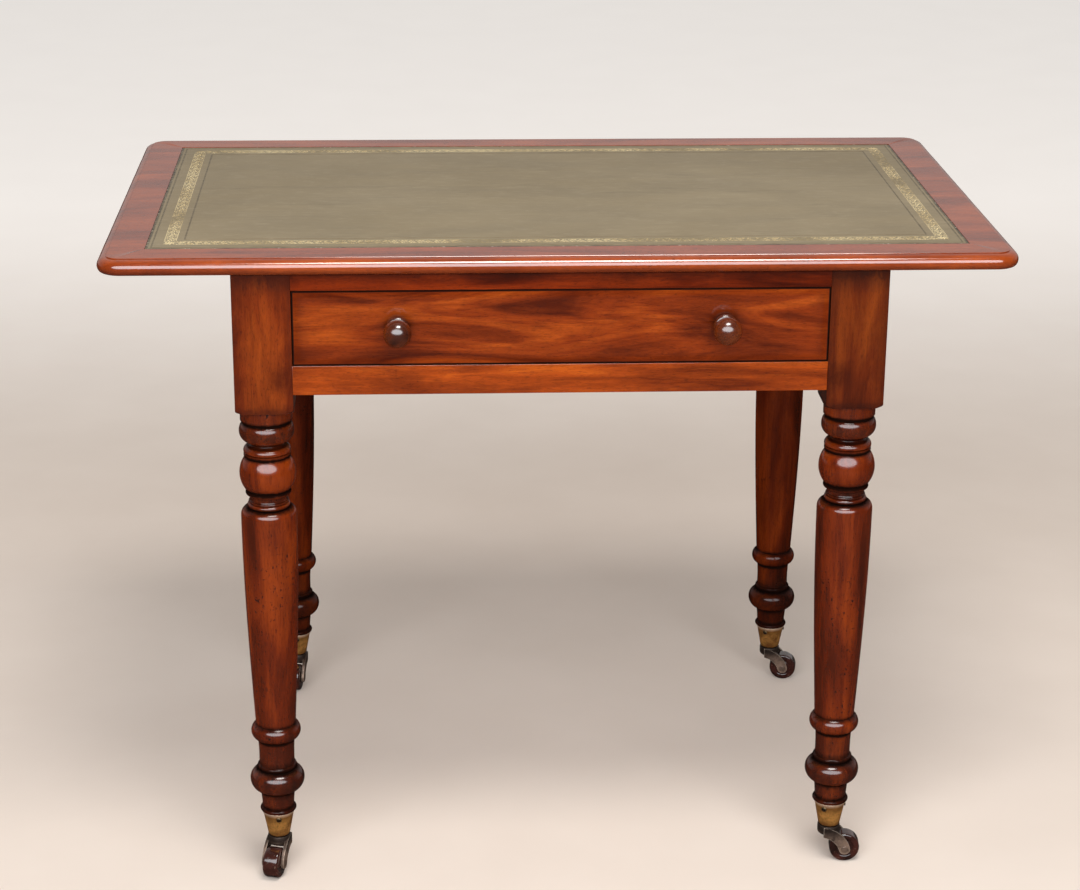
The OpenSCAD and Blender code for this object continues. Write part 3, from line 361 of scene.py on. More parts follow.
# Painted shade: the back legs take the leg colours darker, for the shade under the top.
back_leg_wood_in_painted_shade = mahogany("Back leg mahogany", "Z", *darker_colours(0.62, *LEG_RED), coat=0.25, seed=4.9, **TURNED)
knob_wood = mahogany("Knob mahogany", "Y", (0.20, 0.038, 0.004), (0.12, 0.019, 0.002), (0.035, 0.005, 0.001),
                     shine=0.19, coat=1.0, seed=9.9)
print("mahogany finishes:", [m.name for m in bpy.data.materials if "mahogany" in m.name])

# %% [markdown]
# ## Oak and pine inside
# Nobody polished the inside. Quarter-sawn oak is pale brown with darker lines along the grain and broken
# silvery flecks across it. Pine is yellower, with wide soft bands. Both are dry, so there is no coat.

# %% Unpolished woods
def bare_wood(name, grain, light, dark, fleck, seed=0.0):
    wood = Finish(name)

    def run(length, width):
        return wood.grained(grain, length, width, (seed, seed, seed))

    bands = wood.noise(run(0.5, 0.012), 1.0, 4.0, 0.6, 0.3)
    lines = wood.noise(run(0.05, 0.0012), 1.0, 3.0, 0.6)
    rays = wood.noise(run(0.02, 0.004), 1.0, 2.0, 0.5, 1.5)
    grime = wood.noise(wood.where, 9.0, 4.0, 0.6)
    tone = wood.layered(
        wood.ramp(bands, [(0.32, dark), (0.66, light)]),
        (lines, [(0.34, 0.5), (0.5, 0.0)], dark),
        (rays, [(0.62, 0.0), (0.72, fleck)], light),
        (grime, [(0.45, 0.0), (0.75, 0.45)], (0.10, 0.055, 0.03)),
        # Painted shade: corners and joints inside are painted darker.
        (wood.hollows(0.012), [(0.3, 0.7), (0.9, 0.0)], (0.05, 0.026, 0.014)),
    )
    wood.bump((lines, 0.5, 0.00015))
    return wood.finish(tone, wood.ramp(bands, [(0.3, 0.75), (0.7, 0.55)]), IOR=1.45)


OAK_LIGHT, OAK_DARK = (0.46, 0.29, 0.145), (0.27, 0.150, 0.068)
oak_x = bare_wood("Oak, grain across", "X", OAK_LIGHT, OAK_DARK, 0.5)
oak_y = bare_wood("Oak, grain front to back", "Y", OAK_LIGHT, OAK_DARK, 0.5, seed=2.7)
pine_x = bare_wood("Pine", "X", (0.60, 0.40, 0.20), (0.42, 0.23, 0.09), 0.1, seed=4.4)
print("bare woods:", oak_x.name, oak_y.name, pine_x.name)

# %% [markdown]
# ## Leather and gilding
# The writing surface is a thin skiver of sheep's leather, dyed olive, waxed until it mirrors a little at a
# low angle, with faint long creases. Grime darkens its rim and the two blind lines pressed into it; painted
# shadow darkens the rim further, for the gap round it, and painted shade lies in the blind lines' grooves.
# Pale specks lie along the rim. The gilt is metal leaf pressed in with a warm wheel and so worn that it is
# half paint, half metal, with breaks where the leather shows again.

# %% Leather and gilt
RIM_W, BLIND_W = 3.6, 1.8


def make_leather():
    hide = Finish("Olive leather")
    cloud = hide.noise(hide.where, 3.4, 4.0, 0.55, 0.3)
    mottle = hide.noise(hide.stretched(9, 22, 22), 1.0, 3.0, 0.5, 0.5)
    crease = hide.noise(hide.stretched(8, 150, 60), 1.0, 4.0, 0.6, 1.4)
    scuff = hide.noise(hide.stretched(60, 160, 60), 1.0, 5.0, 0.7, 0.6)
    cells = hide.node("ShaderNodeTexVoronoi", {"Vector": hide.where, "Scale": 1100.0}).outputs["Distance"]
    tone = hide.layered(
        hide.ramp(cloud, [(0.32, (0.235, 0.176, 0.092)), (0.68, (0.290, 0.225, 0.130))]),
        (mottle, [(0.34, 0.24), (0.62, 0.0)], (0.150, 0.112, 0.055)),
        (scuff, [(0.50, 0.0), (0.74, 0.30)], (0.420, 0.340, 0.220)),
        (crease, [(0.56, 0.0), (0.74, 0.34)], (0.100, 0.078, 0.040)),
        # Painted shade in the blind lines and along the edge of the recess.
        (hide.hollows(0.0025), [(0.35, 0.90), (0.92, 0.0)], (0.018, 0.012, 0.006)),
    )
    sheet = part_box("leather_writing_surface")
    for line in BLIND_LINES:
        outer, inner = (hide.outline(sheet, (line + off) * MM, "XY", 0.02)
                        for off in (BLIND_W / 2, -BLIND_W / 2))
        pressed = hide.sum(hide.sum(outer, inner, "SUBTRACT"),
                           hide.ramp(scuff, [(0.34, 0.75), (0.62, 0.30)]), "MULTIPLY")
        tone = hide.blend(pressed, tone, (0.060, 0.045, 0.022))
    # Grime and painted shadow: the rim is painted dark, for the gap round the leather.
    rim = hide.outline(sheet, RIM_W * MM, "XY")
    grime = hide.sum(rim, hide.ramp(scuff, [(0.36, 1.0), (0.60, 0.35)]), "MULTIPLY")
    tone = hide.blend(grime, tone, (0.020, 0.013, 0.007))
    # Pale specks along the rim.
    pale_rim_specks = hide.sum(rim, hide.ramp(hide.noise(hide.where, 240.0, 2.0), [(0.63, 0.0), (0.68, 0.7)]),
                      "MULTIPLY")
    tone = hide.blend(pale_rim_specks, tone, (0.75, 0.68, 0.55))
    hide.bump((crease, 0.20, 0.00008), (cells, 0.12, 0.00004))
    rough = hide.ramp(mottle, [(0.35, 0.44), (0.70, 0.50)])
    return hide.finish(tone, rough, Coat_Weight=0.25, Coat_Roughness=0.28, IOR=1.47, Specular_IOR_Level=0.40)


def make_gilt():
    gold = Finish("Gilt tooling")
    rub = gold.noise(gold.where, 210.0, 4.0, 0.7)
    wide = gold.noise(gold.where, 14.0, 2.0, 0.5)
    wear = gold.sum(rub, wide, "MULTIPLY")
    tone = gold.ramp(wear, [(0.165, (0.26, 0.195, 0.095)), (0.22, (0.74, 0.55, 0.26)),
                            (0.30, (1.0, 0.82, 0.46))])
    gold.bump((rub, 0.3, 0.00006))
    leaf = gold.ramp(wear, [(0.17, 0.05), (0.28, 0.22)])
    return gold.finish(tone, gold.ramp(rub, [(0.3, 0.55), (0.7, 0.40)]), Metallic=leaf)


leather = make_leather()
gilt = make_gilt()
print("leather and gilt:", leather.name, gilt.name)

# %% [markdown]
# ## Brass, bronze, steel and glaze
# The castor cups are lacquered brass, browned under the rim and at the foot, with the rim itself polished
# by dusters and painted pale as a highlight. The forks were once the same colour and are nearly black at the
# top, pale at the edges where they rub and where a highlight is painted. The wheels are brown glazed
# earthenware, almost black, glossy as glass. A metal's bands of browning and of polish with painted
# highlight are (height in millimetres, share) stops.

# %% Metals and glaze
def metal(name, clean, tarnish, amount, rough, rub_and_highlight_edge=0.0, rub_and_highlight_colour=(0.78, 0.60, 0.33), solid=1.0,
          browned=(), polish_and_highlight=()):
    """Metal between clean and tarnished; solid is how far the lacquer or dirt leaves it metallic."""
    stuff = Finish(name)
    cloud = stuff.noise(stuff.where, 70.0, 5.0, 0.65, 0.4)
    speck = stuff.noise(stuff.where, 520.0, 3.0, 0.6)
    tone = stuff.layered(
        stuff.ramp(cloud, [(0.30, tarnish), (0.30 + amount, clean)]),
        (speck, [(0.30, 0.55), (0.44, 0.0)], tarnish),
        (stuff.hollows(0.005), [(0.35, 0.85), (0.9, 0.0)], tarnish),
    )
    height = stuff.axis("Z")
    # Polish and painted highlight: the polished band is painted pale.
    for stops, colour in ((browned, tarnish), (polish_and_highlight, rub_and_highlight_colour)):
        if stops:
            tone = stuff.layered(tone, (height, [(z * MM, share) for z, share in stops], colour))
    # Rubbed metal and painted highlight: the outer edges are painted pale.
    if rub_and_highlight_edge:
        tone = stuff.layered(tone, (stuff.edges(0.0012), [(0.40, rub_and_highlight_edge), (0.72, 0.0)], rub_and_highlight_colour))
    stuff.bump((cloud, 0.15, 0.0002), (speck, 0.12, 0.00005))
    return stuff.finish(tone, stuff.ramp(cloud, [(0.3, rough + 0.2), (0.7, rough)]), Metallic=solid)


def make_glaze():
    glaze = Finish("Brown glaze")
    cloud = glaze.noise(glaze.where, 60.0, 3.0, 0.5)
    speck = glaze.noise(glaze.where, 420.0, 2.0, 0.5)
    tone = glaze.layered(
        glaze.ramp(cloud, [(0.3, (0.010, 0.003, 0.002)), (0.7, (0.062, 0.016, 0.011))]),
        (speck, [(0.66, 0.0), (0.72, 0.7)], (0.16, 0.09, 0.06)),
    )
    glaze.bump((cloud, 0.4, 0.0004))
    return glaze.finish(tone, glaze.ramp(speck, [(0.6, 0.16), (0.75, 0.45)]), Coat_Weight=1.0,
                        Coat_Roughness=0.05, IOR=1.52)


brass = metal("Lacquered brass", (0.93, 0.45, 0.115), (0.26, 0.095, 0.024), 0.30, 0.34, rub_and_highlight_edge=0.6,
              rub_and_highlight_colour=(0.95, 0.74, 0.60), solid=0.75,
              browned=((45, 0.9), (49, 0.3), (55, 0.0), (64, 0.15), (69, 0.7), (73, 0.6), (73.2, 0.0)),
              polish_and_highlight=((73.9, 0.0), (74.3, 0.75), (75.6, 0.75)))
bronze = metal("Darkened fork brass", (0.38, 0.255, 0.190), (0.026, 0.015, 0.011), 0.30, 0.36,
               rub_and_highlight_edge=0.85, rub_and_highlight_colour=(0.86, 0.70, 0.56), solid=0.6,
               browned=((28, 0.0), (34, 0.5), (38, 0.95), (46, 0.95)))
steel = metal("Old iron screws", (0.20, 0.18, 0.16), (0.07, 0.05, 0.04), 0.40, 0.40)
dark_iron = metal("Axle ends", (0.24, 0.160, 0.120), (0.060, 0.038, 0.028), 0.36, 0.40, solid=0.6)
screw_brass = metal("Browned screw heads", (0.13, 0.080, 0.045), (0.035, 0.022, 0.015), 0.40, 0.35,
                    rub_and_highlight_edge=0.3)
glaze = make_glaze()
print("metals:", brass.name, bronze.name, steel.name, screw_brass.name, "and", glaze.name)

# %% [markdown]
# ## A lathe made of geometry nodes
# Legs, knobs, cups and wheels are all turned, so one rule makes them all: an outline of half the section,
# swept once round the axis. In the tree the outline is moved to stand a little way from a circular path,
# Curve to Mesh sweeps it, the poles are merged, and edges sharper than a set angle stay crisp.

# %% Build the lathe
def geometry_graph(name, inputs):
    """A geometry node tree with named inputs and one geometry output, and the inputs to build from."""
    tree = bpy.data.node_groups.new(name, "GeometryNodeTree")
    for title, kind in inputs.items():
        tree.interface.new_socket(title, in_out="INPUT", socket_type="NodeSocket" + kind)
    tree.interface.new_socket("Geometry", in_out="OUTPUT", socket_type="NodeSocketGeometry")
    graph = Graph(tree)
    return graph, graph.node("NodeGroupInput").outputs


def give_out(graph, geometry, finish):
    """Makes the result real and coats it, and returns the whole tree."""
    real = graph.step("GeometryNodeRealizeInstances", {0: geometry})
    coated = graph.step("GeometryNodeSetMaterial", {"Geometry": real, "Material": finish})
    graph.node("NodeGroupOutput", {0: coated})
    return graph.tree


def build_lathe(path_radius=0.1, weld=1e-6):
    graph, given = geometry_graph("Lathe", {"Outline": "Geometry", "Facets round": "Int",
                                            "Crisp above": "Float", "Finish": "Material"})

    # A point at radius x and height z moves to x less the path's radius, and -z, in the profile's plane.
    drawn = graph.node("ShaderNodeSeparateXYZ", {0: graph.step("GeometryNodeInputPosition")}).outputs
    place = graph.step("ShaderNodeCombineXYZ", {
        "X": graph.sum(drawn["X"], path_radius, "SUBTRACT"), "Y": graph.sum(drawn["Z"], -1, "MULTIPLY")})
    laid = graph.step("GeometryNodeSetPosition", {"Geometry": given["Outline"], "Position": place})

    profile = graph.step("GeometryNodeMeshToCurve", {"Mesh": laid})
    path = graph.step("GeometryNodeCurvePrimitiveCircle", {
        "Resolution": given["Facets round"], "Radius": path_radius})
    swept = graph.step("GeometryNodeCurveToMesh", {"Curve": path, "Profile Curve": profile})
    merged = graph.step("GeometryNodeMergeByDistance", {"Geometry": swept, "Distance": weld})

    angle = graph.node("GeometryNodeInputMeshEdgeAngle").outputs["Unsigned Angle"]
    gentle = graph.step("FunctionNodeCompare", {0: angle, 1: given["Crisp above"]}, operation="LESS_THAN")
    smooth = graph.step("GeometryNodeSetShadeSmooth", {"Geometry": merged, "Shade Smooth": gentle},
                        domain="EDGE")
    return give_out(graph, smooth, given["Finish"])


lathe = build_lathe()
print("lathe nodes:", len(lathe.nodes))

# %% [markdown]
# The next helpers put the lathe to use. `bow` draws a stretch of ellipse, and `through` sends a drawing
# through a node tree and takes the result as a plain mesh. A modifier's inputs are set by each socket's
# identifier, because names may repeat.

# %% Turning
def bow(x, z, a, b, start, end, steps):
    """Points on an ellipse about (x, z), with half axes a and b, from one angle to another."""
    turns = [math.radians(start + (end - start) * i / steps) for i in range(steps + 1)]
    return [(x + a * math.cos(t), z + b * math.sin(t)) for t in turns]


def in_scene(name, data):
    """A new object of some data, in the scene."""
    obj = bpy.data.objects.new(name, data)
    bpy.context.scene.collection.objects.link(obj)
    return obj


def socket_id(tree, name):
    for item in tree.interface.items_tree:
        if item.item_type == "SOCKET" and item.in_out == "INPUT" and item.name == name:
            return item.identifier
    raise KeyError(name)


def plain_mesh(obj, name):
    """The evaluated object as a mesh of its own; the working object goes."""
    bpy.context.view_layer.update()
    evaluated = obj.evaluated_get(bpy.context.evaluated_depsgraph_get())
    mesh = bpy.data.meshes.new_from_object(evaluated)
    mesh.name = name
    bpy.data.objects.remove(obj)
    return mesh


def through(tree, name, points, links, inputs):
    """Sends a drawing of points in metres and lines between them through a node tree."""
    drawing = bpy.data.meshes.new(name + " drawing")
    drawing.from_pydata(points, links, [])
    obj = in_scene(name + " blank", drawing)
    modifier = obj.modifiers.new(tree.name, "NODES")
    modifier.node_group = tree
    for title, value in inputs.items():
        modifier[socket_id(tree, title)] = value
    return plain_mesh(obj, name)


def turn(name, outline, finish, facets=96, crisp=28, closed=False):
    """A turned piece from half its section, in millimetres of radius and height."""
    points = [(x * MM, 0, z * MM) for x, z in outline]
    links = [(i, i + 1) for i in range(len(points) - 1)]
    if closed:
        links.append((len(points) - 1, 0))
    mesh = through(lathe, name, points, links, {
        "Facets round": facets, "Crisp above": math.radians(crisp), "Finish": finish})
    work = bmesh.new()
    work.from_mesh(mesh)
    bmesh.ops.remove_doubles(work, verts=work.verts, dist=1e-6)
    bmesh.ops.recalc_face_normals(work, faces=work.faces)
    work.to_mesh(mesh)
    work.free()
    return mesh


print("turning helpers ready")

# %% [markdown]
# Pieces that aren't turned are skinned: rings of points are joined by bands of faces and closed at both
# ends. `settle` then makes an object of a finished mesh, with its place in the mesh itself. The piece
# rides on the body it belongs to and stands for the solids it replaces.

# %% Skinning, joining and settling
BROAD = 1.2 * MM


def shade(work, crisp):
    """Broad faces stay flat, so no normal bends across them; narrow ones are smooth up to the crisp angle."""
    for face in work.faces:
        face.smooth = face.calc_area() < BROAD * face.calc_perimeter()
    for edge in work.edges:
        edge.smooth = len(edge.link_faces) == 2 and edge.calc_face_angle(0) < math.radians(crisp)


def baked(name, work, *finishes):
    """The working mesh as mesh data with its finishes."""
    mesh = bpy.data.meshes.new(name)
    work.to_mesh(mesh)
    work.free()
    for finish in finishes:
        mesh.materials.append(finish)
    return mesh


def skinned(name, rings, finish, crisp=32):
    """A closed body through rings of points in metres, each ring with the same number of points."""
    work = bmesh.new()
    rings = [[work.verts.new(point) for point in ring] for ring in rings]
    for low, high in zip(rings, rings[1:]):
        for i in range(len(low)):
            j = (i + 1) % len(low)
            work.faces.new((low[i], low[j], high[j], high[i]))
    work.faces.new(list(reversed(rings[0])))
    work.faces.new(rings[-1])
    bmesh.ops.recalc_face_normals(work, faces=work.faces)
    shade(work, crisp)
    return baked(name, work, finish)


def moved(mesh, matrix):
    """A copy of a mesh with its place baked in."""
    copy = mesh.copy()
    copy.transform(matrix)
    return copy


def joined(name, meshes):
    """Several meshes as one, each keeping its finish."""
    work = bmesh.new()
    finishes = []
    for mesh in meshes:
        part = mesh.copy()
        for polygon in part.polygons:
            own = mesh.materials[polygon.material_index]
            if own not in finishes:
                finishes.append(own)
            polygon.material_index = finishes.index(own)
        work.from_mesh(part)
        bpy.data.meshes.remove(part)
    return baked(name, work, *finishes)


def settle(name, mesh, body, stands_for=()):
    obj = in_scene(name, mesh)
    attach(obj, body)
    if stands_for:
        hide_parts(*stands_for)
    print(f"{name}: {len(mesh.polygons)} faces on {body}")
    return obj


print("skinning helpers ready")

# %% [markdown]
# ## The legs
# Each leg is one piece of mahogany: a square block where the rails are jointed, then turning all the way
# down. The outline follows the drawing's mouldings in order, from the end inside the cup up to the block:
# ring, ankle, bulb, ring, waist, bead, long swelling shaft, shoulder, astragal, cove, fillet, ball, bead,
# neck, ovolo and collar. Small rounds at the corners are what sandpaper leaves, and they catch the light.

# %% Outline of a leg
def leg_outline():
    return (
        [(0, 55.5), (12.3, 55.5), (15.25, 73.1), (15.25, CUP_TOP), (17.7, CUP_TOP)]
        + bow(17.7, 78, 2.5, 2.5, -78, 66, 8)
        + [(17.55, 80.7), (17.8, 86), (18.15, 90.75), (18.65, 96), (19.3, 100.6)]
        + bow(17.4, 116, 12.8, 15, -78, 0, 16)
        + bow(17.4, 116, 12.8, 12.5, 6, 78, 14)
        + bow(19.25, 131.25, 2.75, 2.75, -80, 80, 10)
        + [(19.6, 134.4), (19.5, 142), (19.6, 151), (19.9, 158), (20.3, 163.8)]
        + bow(17, 174.5, 10.5, 10.5, -70, 62, 18)
        + [(22.2 + 8.1 * math.sin(math.radians(90 * i / 40)), 185 + 247 * i / 40) for i in range(41)]
        + bow(23.8, 432, 6.5, 8.5, 8, 88, 12)
        + [(22.4, 440.5)]
        + bow(20.2, 443.5, 3, 3, -80, 80, 8)
        + bow(20.2, 448, 1.5, 1.5, -75, 80, 6)
        + bow(20.8, 452.5, 1.0, -3, 90, 270, 8)
        + bow(21.95, 458.25, 2.75, 2.75, -75, 55, 8)
        + [(22.9, 460.8)]
        + bow(0, 480.25, 30.5, 30.5, -39.1, 39.1, 26)
        + [(23.8, 499.5), (23.8, 500.3), (25.2, 500.3), (25.4, 500.7), (25.3, 503.2), (24.5, 503.5)]
        + bow(21, 505.7, 4.6, 2.2, -50, 0, 5)
        + bow(21, 505.7, 4.6, 5.3, 10, 88, 12)
        + bow(21, 513.5, 3.6, -2.5, 98, 200, 9)
        + bow(19, 527.8, 10.6, 11.8, -88, 0, 16)
        + bow(24.6, 527.8, 5, 9.7, 8, 75, 10)
        + [(26.2, 537.5), (26.2, 540), (27.5, 540), (28, 540.6), (28, BLOCK_Z - 0.01), (0, BLOCK_Z - 0.01)]
    )


print("outline points:", len(leg_outline()))

# %% [markdown]
# The block above is square, with its arrises rubbed soft by dusters and its foot cut back by the lathe
# tool. It is cut here as rings: each ring is a square with its corners trimmed by the radius the lathe
# left at that height. Its faces carry a finish of their own, because the block has no wax lines and is
# polished flat.

# %% The square block
BLOCK_EASE, UNCUT = 0.7, 99
LATHE_CUTS = ((0, 5.0), (0.5, 4.2), (1.8, 2.6), (3.0, 1.2), (3.9, 0.35))
QUARTERS = ((1, 1), (-1, 1), (-1, -1), (1, -1))


def squared_ring(half, ease, reach, steps=5):
    """Points round a square of half width `half`, its corners eased, or cut off at a reach from the axis."""
    cut = reach < half * math.sqrt(2)
    turn_in = math.degrees(math.acos(half / reach)) if cut else 0
    centre, radius = (0, reach) if cut else (half - ease, ease)
    points = []
    for quarter, (side_x, side_y) in enumerate(QUARTERS):
        points += bow(side_x * centre, side_y * centre, radius, radius,
                      90 * quarter + turn_in, 90 * (quarter + 1) - turn_in, steps)
    return points


def block_mesh(finish, flat_from=5, bands=12):
    """The square block, from where the lathe stopped to the top's underside."""
    half = BLOCK_W / 2
    levels = [(BLOCK_Z + up, half * math.sqrt(2) - less) for up, less in LATHE_CUTS]
    foot = BLOCK_Z + flat_from
    levels += [(foot + (UNDER_Z - foot) * i / bands, UNCUT) for i in range(bands + 1)]
    return skinned("leg block", [[(x * MM, y * MM, z * MM) for x, y in squared_ring(half, BLOCK_EASE, reach)]
                                 for z, reach in levels], finish)


for corner, (side_x, side_y, _) in CORNERS.items():
    front_turned = leg_wood if side_x < 0 else right_leg_wood
    turned_wood = front_turned if side_y < 0 else back_leg_wood_in_painted_shade
    squared_wood = block_wood if side_x < 0 else dark_block_wood
    pieces = [turn("leg turning", leg_outline(), turned_wood, facets=112), block_mesh(squared_wood)]
    whole = joined("turned leg " + corner, [moved(p, Matrix.Translation(leg_axis(corner))) for p in pieces])
    settle("turned_leg_" + corner, whole, "table", ["leg_" + corner])

# %% [markdown]
# ## The top
# One board with a stepped and rounded edge. Its edge is a section carried round a rectangle with round
# corners, so the board is laid up as nested rings: each point of the section gives one ring, at its own
# height and its own distance in from the edge.

# %% Rings round a rectangle
LEAST_RADIUS = 0.05


def rounded_ring(width, depth, radius, corner_steps=14, long_steps=80, short_steps=48):
    """Points round a rectangle with round corners, about the origin, anticlockwise."""
    radius = max(radius, LEAST_RADIUS)
    arcs = [bow(side_x * (width / 2 - radius), side_y * (depth / 2 - radius), radius, radius,
                90 * quarter, 90 * (quarter + 1), corner_steps)
            for quarter, (side_x, side_y) in enumerate(QUARTERS)]
    points = []
    for index, arc in enumerate(arcs):
        (x, y), (next_x, next_y) = arc[-1], arcs[(index + 1) % 4][0]
        steps = long_steps if index % 2 == 0 else short_steps
        points += arc
        points += [(x + (next_x - x) * k / steps, y + (next_y - y) * k / steps) for k in range(1, steps)]
    return points


def nested_rings(name, section, width, depth, corner, finish, crisp=32, wear=0.0, seed=1):
    """A closed board from (inset, height, wear share) points, from its underside round to its top."""
    chance = random.Random(seed)
    waves = [(chance.uniform(8, 60), chance.uniform(0, 6.28), chance.uniform(0.3, 1)) for _ in range(6)]
    rings = []
    for inset, z, share in section:
        ring = []
        for x, y in rounded_ring(width - 2 * inset, depth - 2 * inset, corner - inset):
            rub = 0.0
            if share:
                rub = sum(s * max(0, math.sin(x / f + p) * math.cos(y / f - p)) for f, p, s in waves) / 6
            pull = 1 - wear * share * rub / max(abs(x), abs(y), 1)
            ring.append((x * pull * MM, (y * pull + CENTRE_Y) * MM, z * MM))
        rings.append(ring)
    return skinned(name, rings, finish, crisp)


def top_section():
    """From under the nose, out and over it, up the little step and in to the leather's recess."""
    nose_z, step_z = TOP_H - (TOP_T - MOULD_UNDER_H), TOP_H - MOULD_STEP
    recess, recess_floor = LEATHER_MARGIN - 0.15, TOP_H - LEATHER_T - LEATHER_SINK
    under = bow(MOULD_W - MOULD_UNDER, nose_z, MOULD_UNDER, MOULD_UNDER_H, -90, -6, 12)
    over = bow(0, nose_z, MOULD_W, step_z - nose_z, 0, 88, 20)
    return (
        [(MOULD_W - x, z, 0) for x, z in under] + [(MOULD_W - x, z, 1) for x, z in over]
        + [(MOULD_W + 0.02, step_z, 0), (MOULD_W + 0.1, TOP_H - 0.35, 0), (MOULD_W + 0.45, TOP_H, 0)]
        + [(recess - 0.3, TOP_H, 0), (recess, TOP_H - 0.25, 0), (recess, recess_floor, 0)]
    )


top_mesh = nested_rings("table top", top_section(), TOP_W, TOP_D, TOP_CORNER, top_wood, wear=0.5)
settle("moulded_top", top_mesh, "table", ["table_top"])

# %% [markdown]
# ## The leather
# The skiver lies in its recess with a rounded, pressed-down edge. Two blind lines run round it, pressed in
# with a plain wheel: one near the edge and one inside the gilt band. They are real grooves in the mesh, so
# they shade as grooves from every side.

# %% Leather with its blind lines
SHEET_W, SHEET_D = TOP_W - 2 * LEATHER_MARGIN, TOP_D - 2 * LEATHER_MARGIN


def leather_section():
    face = TOP_H - LEATHER_SINK
    section = [(0.0, face - LEATHER_T, 0), (0.0, face - 0.35, 0), (0.25, face - 0.12, 0),
               (0.9, face - 0.02, 0), (2.0, face, 0)]
    for line in BLIND_LINES:
        section += [(line - 0.75, face, 0), (line - 0.35, face - 0.28, 0), (line + 0.35, face - 0.28, 0),
                    (line + 0.75, face, 0)]
    return section + [(60, face, 0), (110, face, 0)]


leather_mesh = nested_rings("leather writing surface", leather_section(), SHEET_W, SHEET_D, LEATHER_CORNER,
                            leather, crisp=40)
skiver = settle("tooled_leather", leather_mesh, "table", ["leather_writing_surface"])

# %% [markdown]
# ## The gilt border
# A binder's wheel rolls the same few centimetres of ornament over and over: a running stem with curled
# leaves, between two fine lines. One repeat is drawn as a small flat mesh of curls and dots, and geometry
# nodes lay it along each side of the border. The motif is a plain traditional scroll.

# %% One repeat of the scroll
REPEAT, BAND, GILT_T = 18.0, 13.0, 0.05
GILT_Z = TOP_H - LEATHER_SINK + GILT_T
GILT_MARGIN = LEATHER_MARGIN + 24


def stroke(work, points, width):
    """A flat ribbon along points, tapering to both ends."""
    last = None
    count = len(points)
    for i, (x, y) in enumerate(points):
        before, after = points[max(0, i - 1)], points[min(count - 1, i + 1)]
        dx, dy = after[0] - before[0], after[1] - before[1]
        size = math.hypot(dx, dy) or 1
        half = width / 2 * (0.35 + 0.65 * math.sin(math.pi * (i + 0.3) / (count - 0.4)))
        pair = [work.verts.new(((x - dy / size * half) * MM, (y + dx / size * half) * MM, 0)),
                work.verts.new(((x + dy / size * half) * MM, (y - dx / size * half) * MM, 0))]
        if last:
            work.faces.new((last[1], pair[1], pair[0], last[0]))
        last = pair


def dot(work, x, y, radius, sides=6):
    """A small flat disc."""
    rim = bow(x, y, radius, radius, 0, 360 - 360 / sides, sides - 1)
    work.faces.new([work.verts.new((rim_x * MM, rim_y * MM, 0)) for rim_x, rim_y in rim])


def curl(x, y, radius, start, sweep, steps=9):
    """A spiral that winds in to a third of its radius."""
    points = []
    for i in range(steps + 1):
        reach, turned = radius * (1 - 0.66 * i / steps), math.radians(start + sweep * i / steps)
        points.append((x + reach * math.cos(turned), y + reach * math.sin(turned)))
    return points


def scroll_mesh(stem_steps=18, beads=6):
    """A waving stem with a leaf and two tendrils on each side, and a beaded line along both edges."""
    work = bmesh.new()
    waves = [i / stem_steps for i in range(stem_steps + 1)]
    stroke(work, [(REPEAT * share, 2.2 * math.sin(2 * math.pi * share)) for share in waves], 0.9)
    for flip, shift in ((1, 0.0), (-1, REPEAT / 2)):
        stroke(work, curl(shift + 4.5, flip * 0.4, 3.1, 100 * flip, -400 * flip), 0.85)
        stroke(work, curl(shift + 4.2, flip * -3.9, 1.5, -90 * flip, 330 * flip), 0.7)
        stroke(work, curl(shift + 8.2, flip * 3.9, 1.4, 200 * flip, 320 * flip), 0.7)
        for x, y in ((1.3, 3.6), (6.9, -4.2), (8.3, 1.7), (1.0, -4.6), (5.6, 4.7)):
            dot(work, (shift + x) % REPEAT, flip * y, 0.5)
    edge = BAND / 2 - 0.25
    for side in (-1, 1):
        for i in range(beads):
            dot(work, REPEAT * (i + 0.5) / beads, side * (edge - 0.95), 0.42)
        line = [work.verts.new((x * MM, (side * edge + y) * MM, 0))
                for x, y in ((0, -0.22), (REPEAT, -0.22), (REPEAT, 0.22), (0, 0.22))]
        work.faces.new(line)
    return baked("scroll repeat", work, gilt)


scroll = scroll_mesh()
print("faces in one repeat:", len(scroll.polygons))

# %% [markdown]
# The tree takes a straight guide line, resamples it into whole repeats, and puts one motif at each point.
# It runs once for each side of the border, and the repeats are realised because an export drops instances.

# %% Lay the scroll along each side
def build_border():
    graph, given = geometry_graph("Gilt border", {"Guide": "Geometry", "Motif": "Object", "Repeats": "Int",
                                                  "Turn": "Float", "Stretch": "Float", "Finish": "Material"})
    line = graph.step("GeometryNodeMeshToCurve", {"Mesh": given["Guide"]})
    points = graph.node("GeometryNodeCurveToPoints", {"Curve": line, "Count": given["Repeats"]})
    motif = graph.node("GeometryNodeObjectInfo", {"Object": given["Motif"]})
    repeated = graph.step("GeometryNodeInstanceOnPoints", {
        "Points": points.outputs["Points"], "Instance": motif.outputs["Geometry"],
        "Rotation": graph.step("ShaderNodeCombineXYZ", {"Z": given["Turn"]}),
        "Scale": graph.step("ShaderNodeCombineXYZ", {"X": given["Stretch"], "Y": 1, "Z": 1})})
    return give_out(graph, repeated, given["Finish"])


def border_side(start, end, turned):
    """The scroll from start to end, in millimetres about the leather's middle."""
    length = math.dist(start, end)
    count = round(length / REPEAT)
    last = Vector(start) + (Vector(end) - Vector(start)) * (count - 1) / count
    guide = [(x * MM, (y + CENTRE_Y) * MM, GILT_Z * MM) for x, y in (start, last)]
    return through(border, "gilt side", guide, [(0, 1)], {
        "Motif": motif_holder, "Repeats": count, "Turn": math.radians(turned),
        "Stretch": length / count / REPEAT, "Finish": gilt})


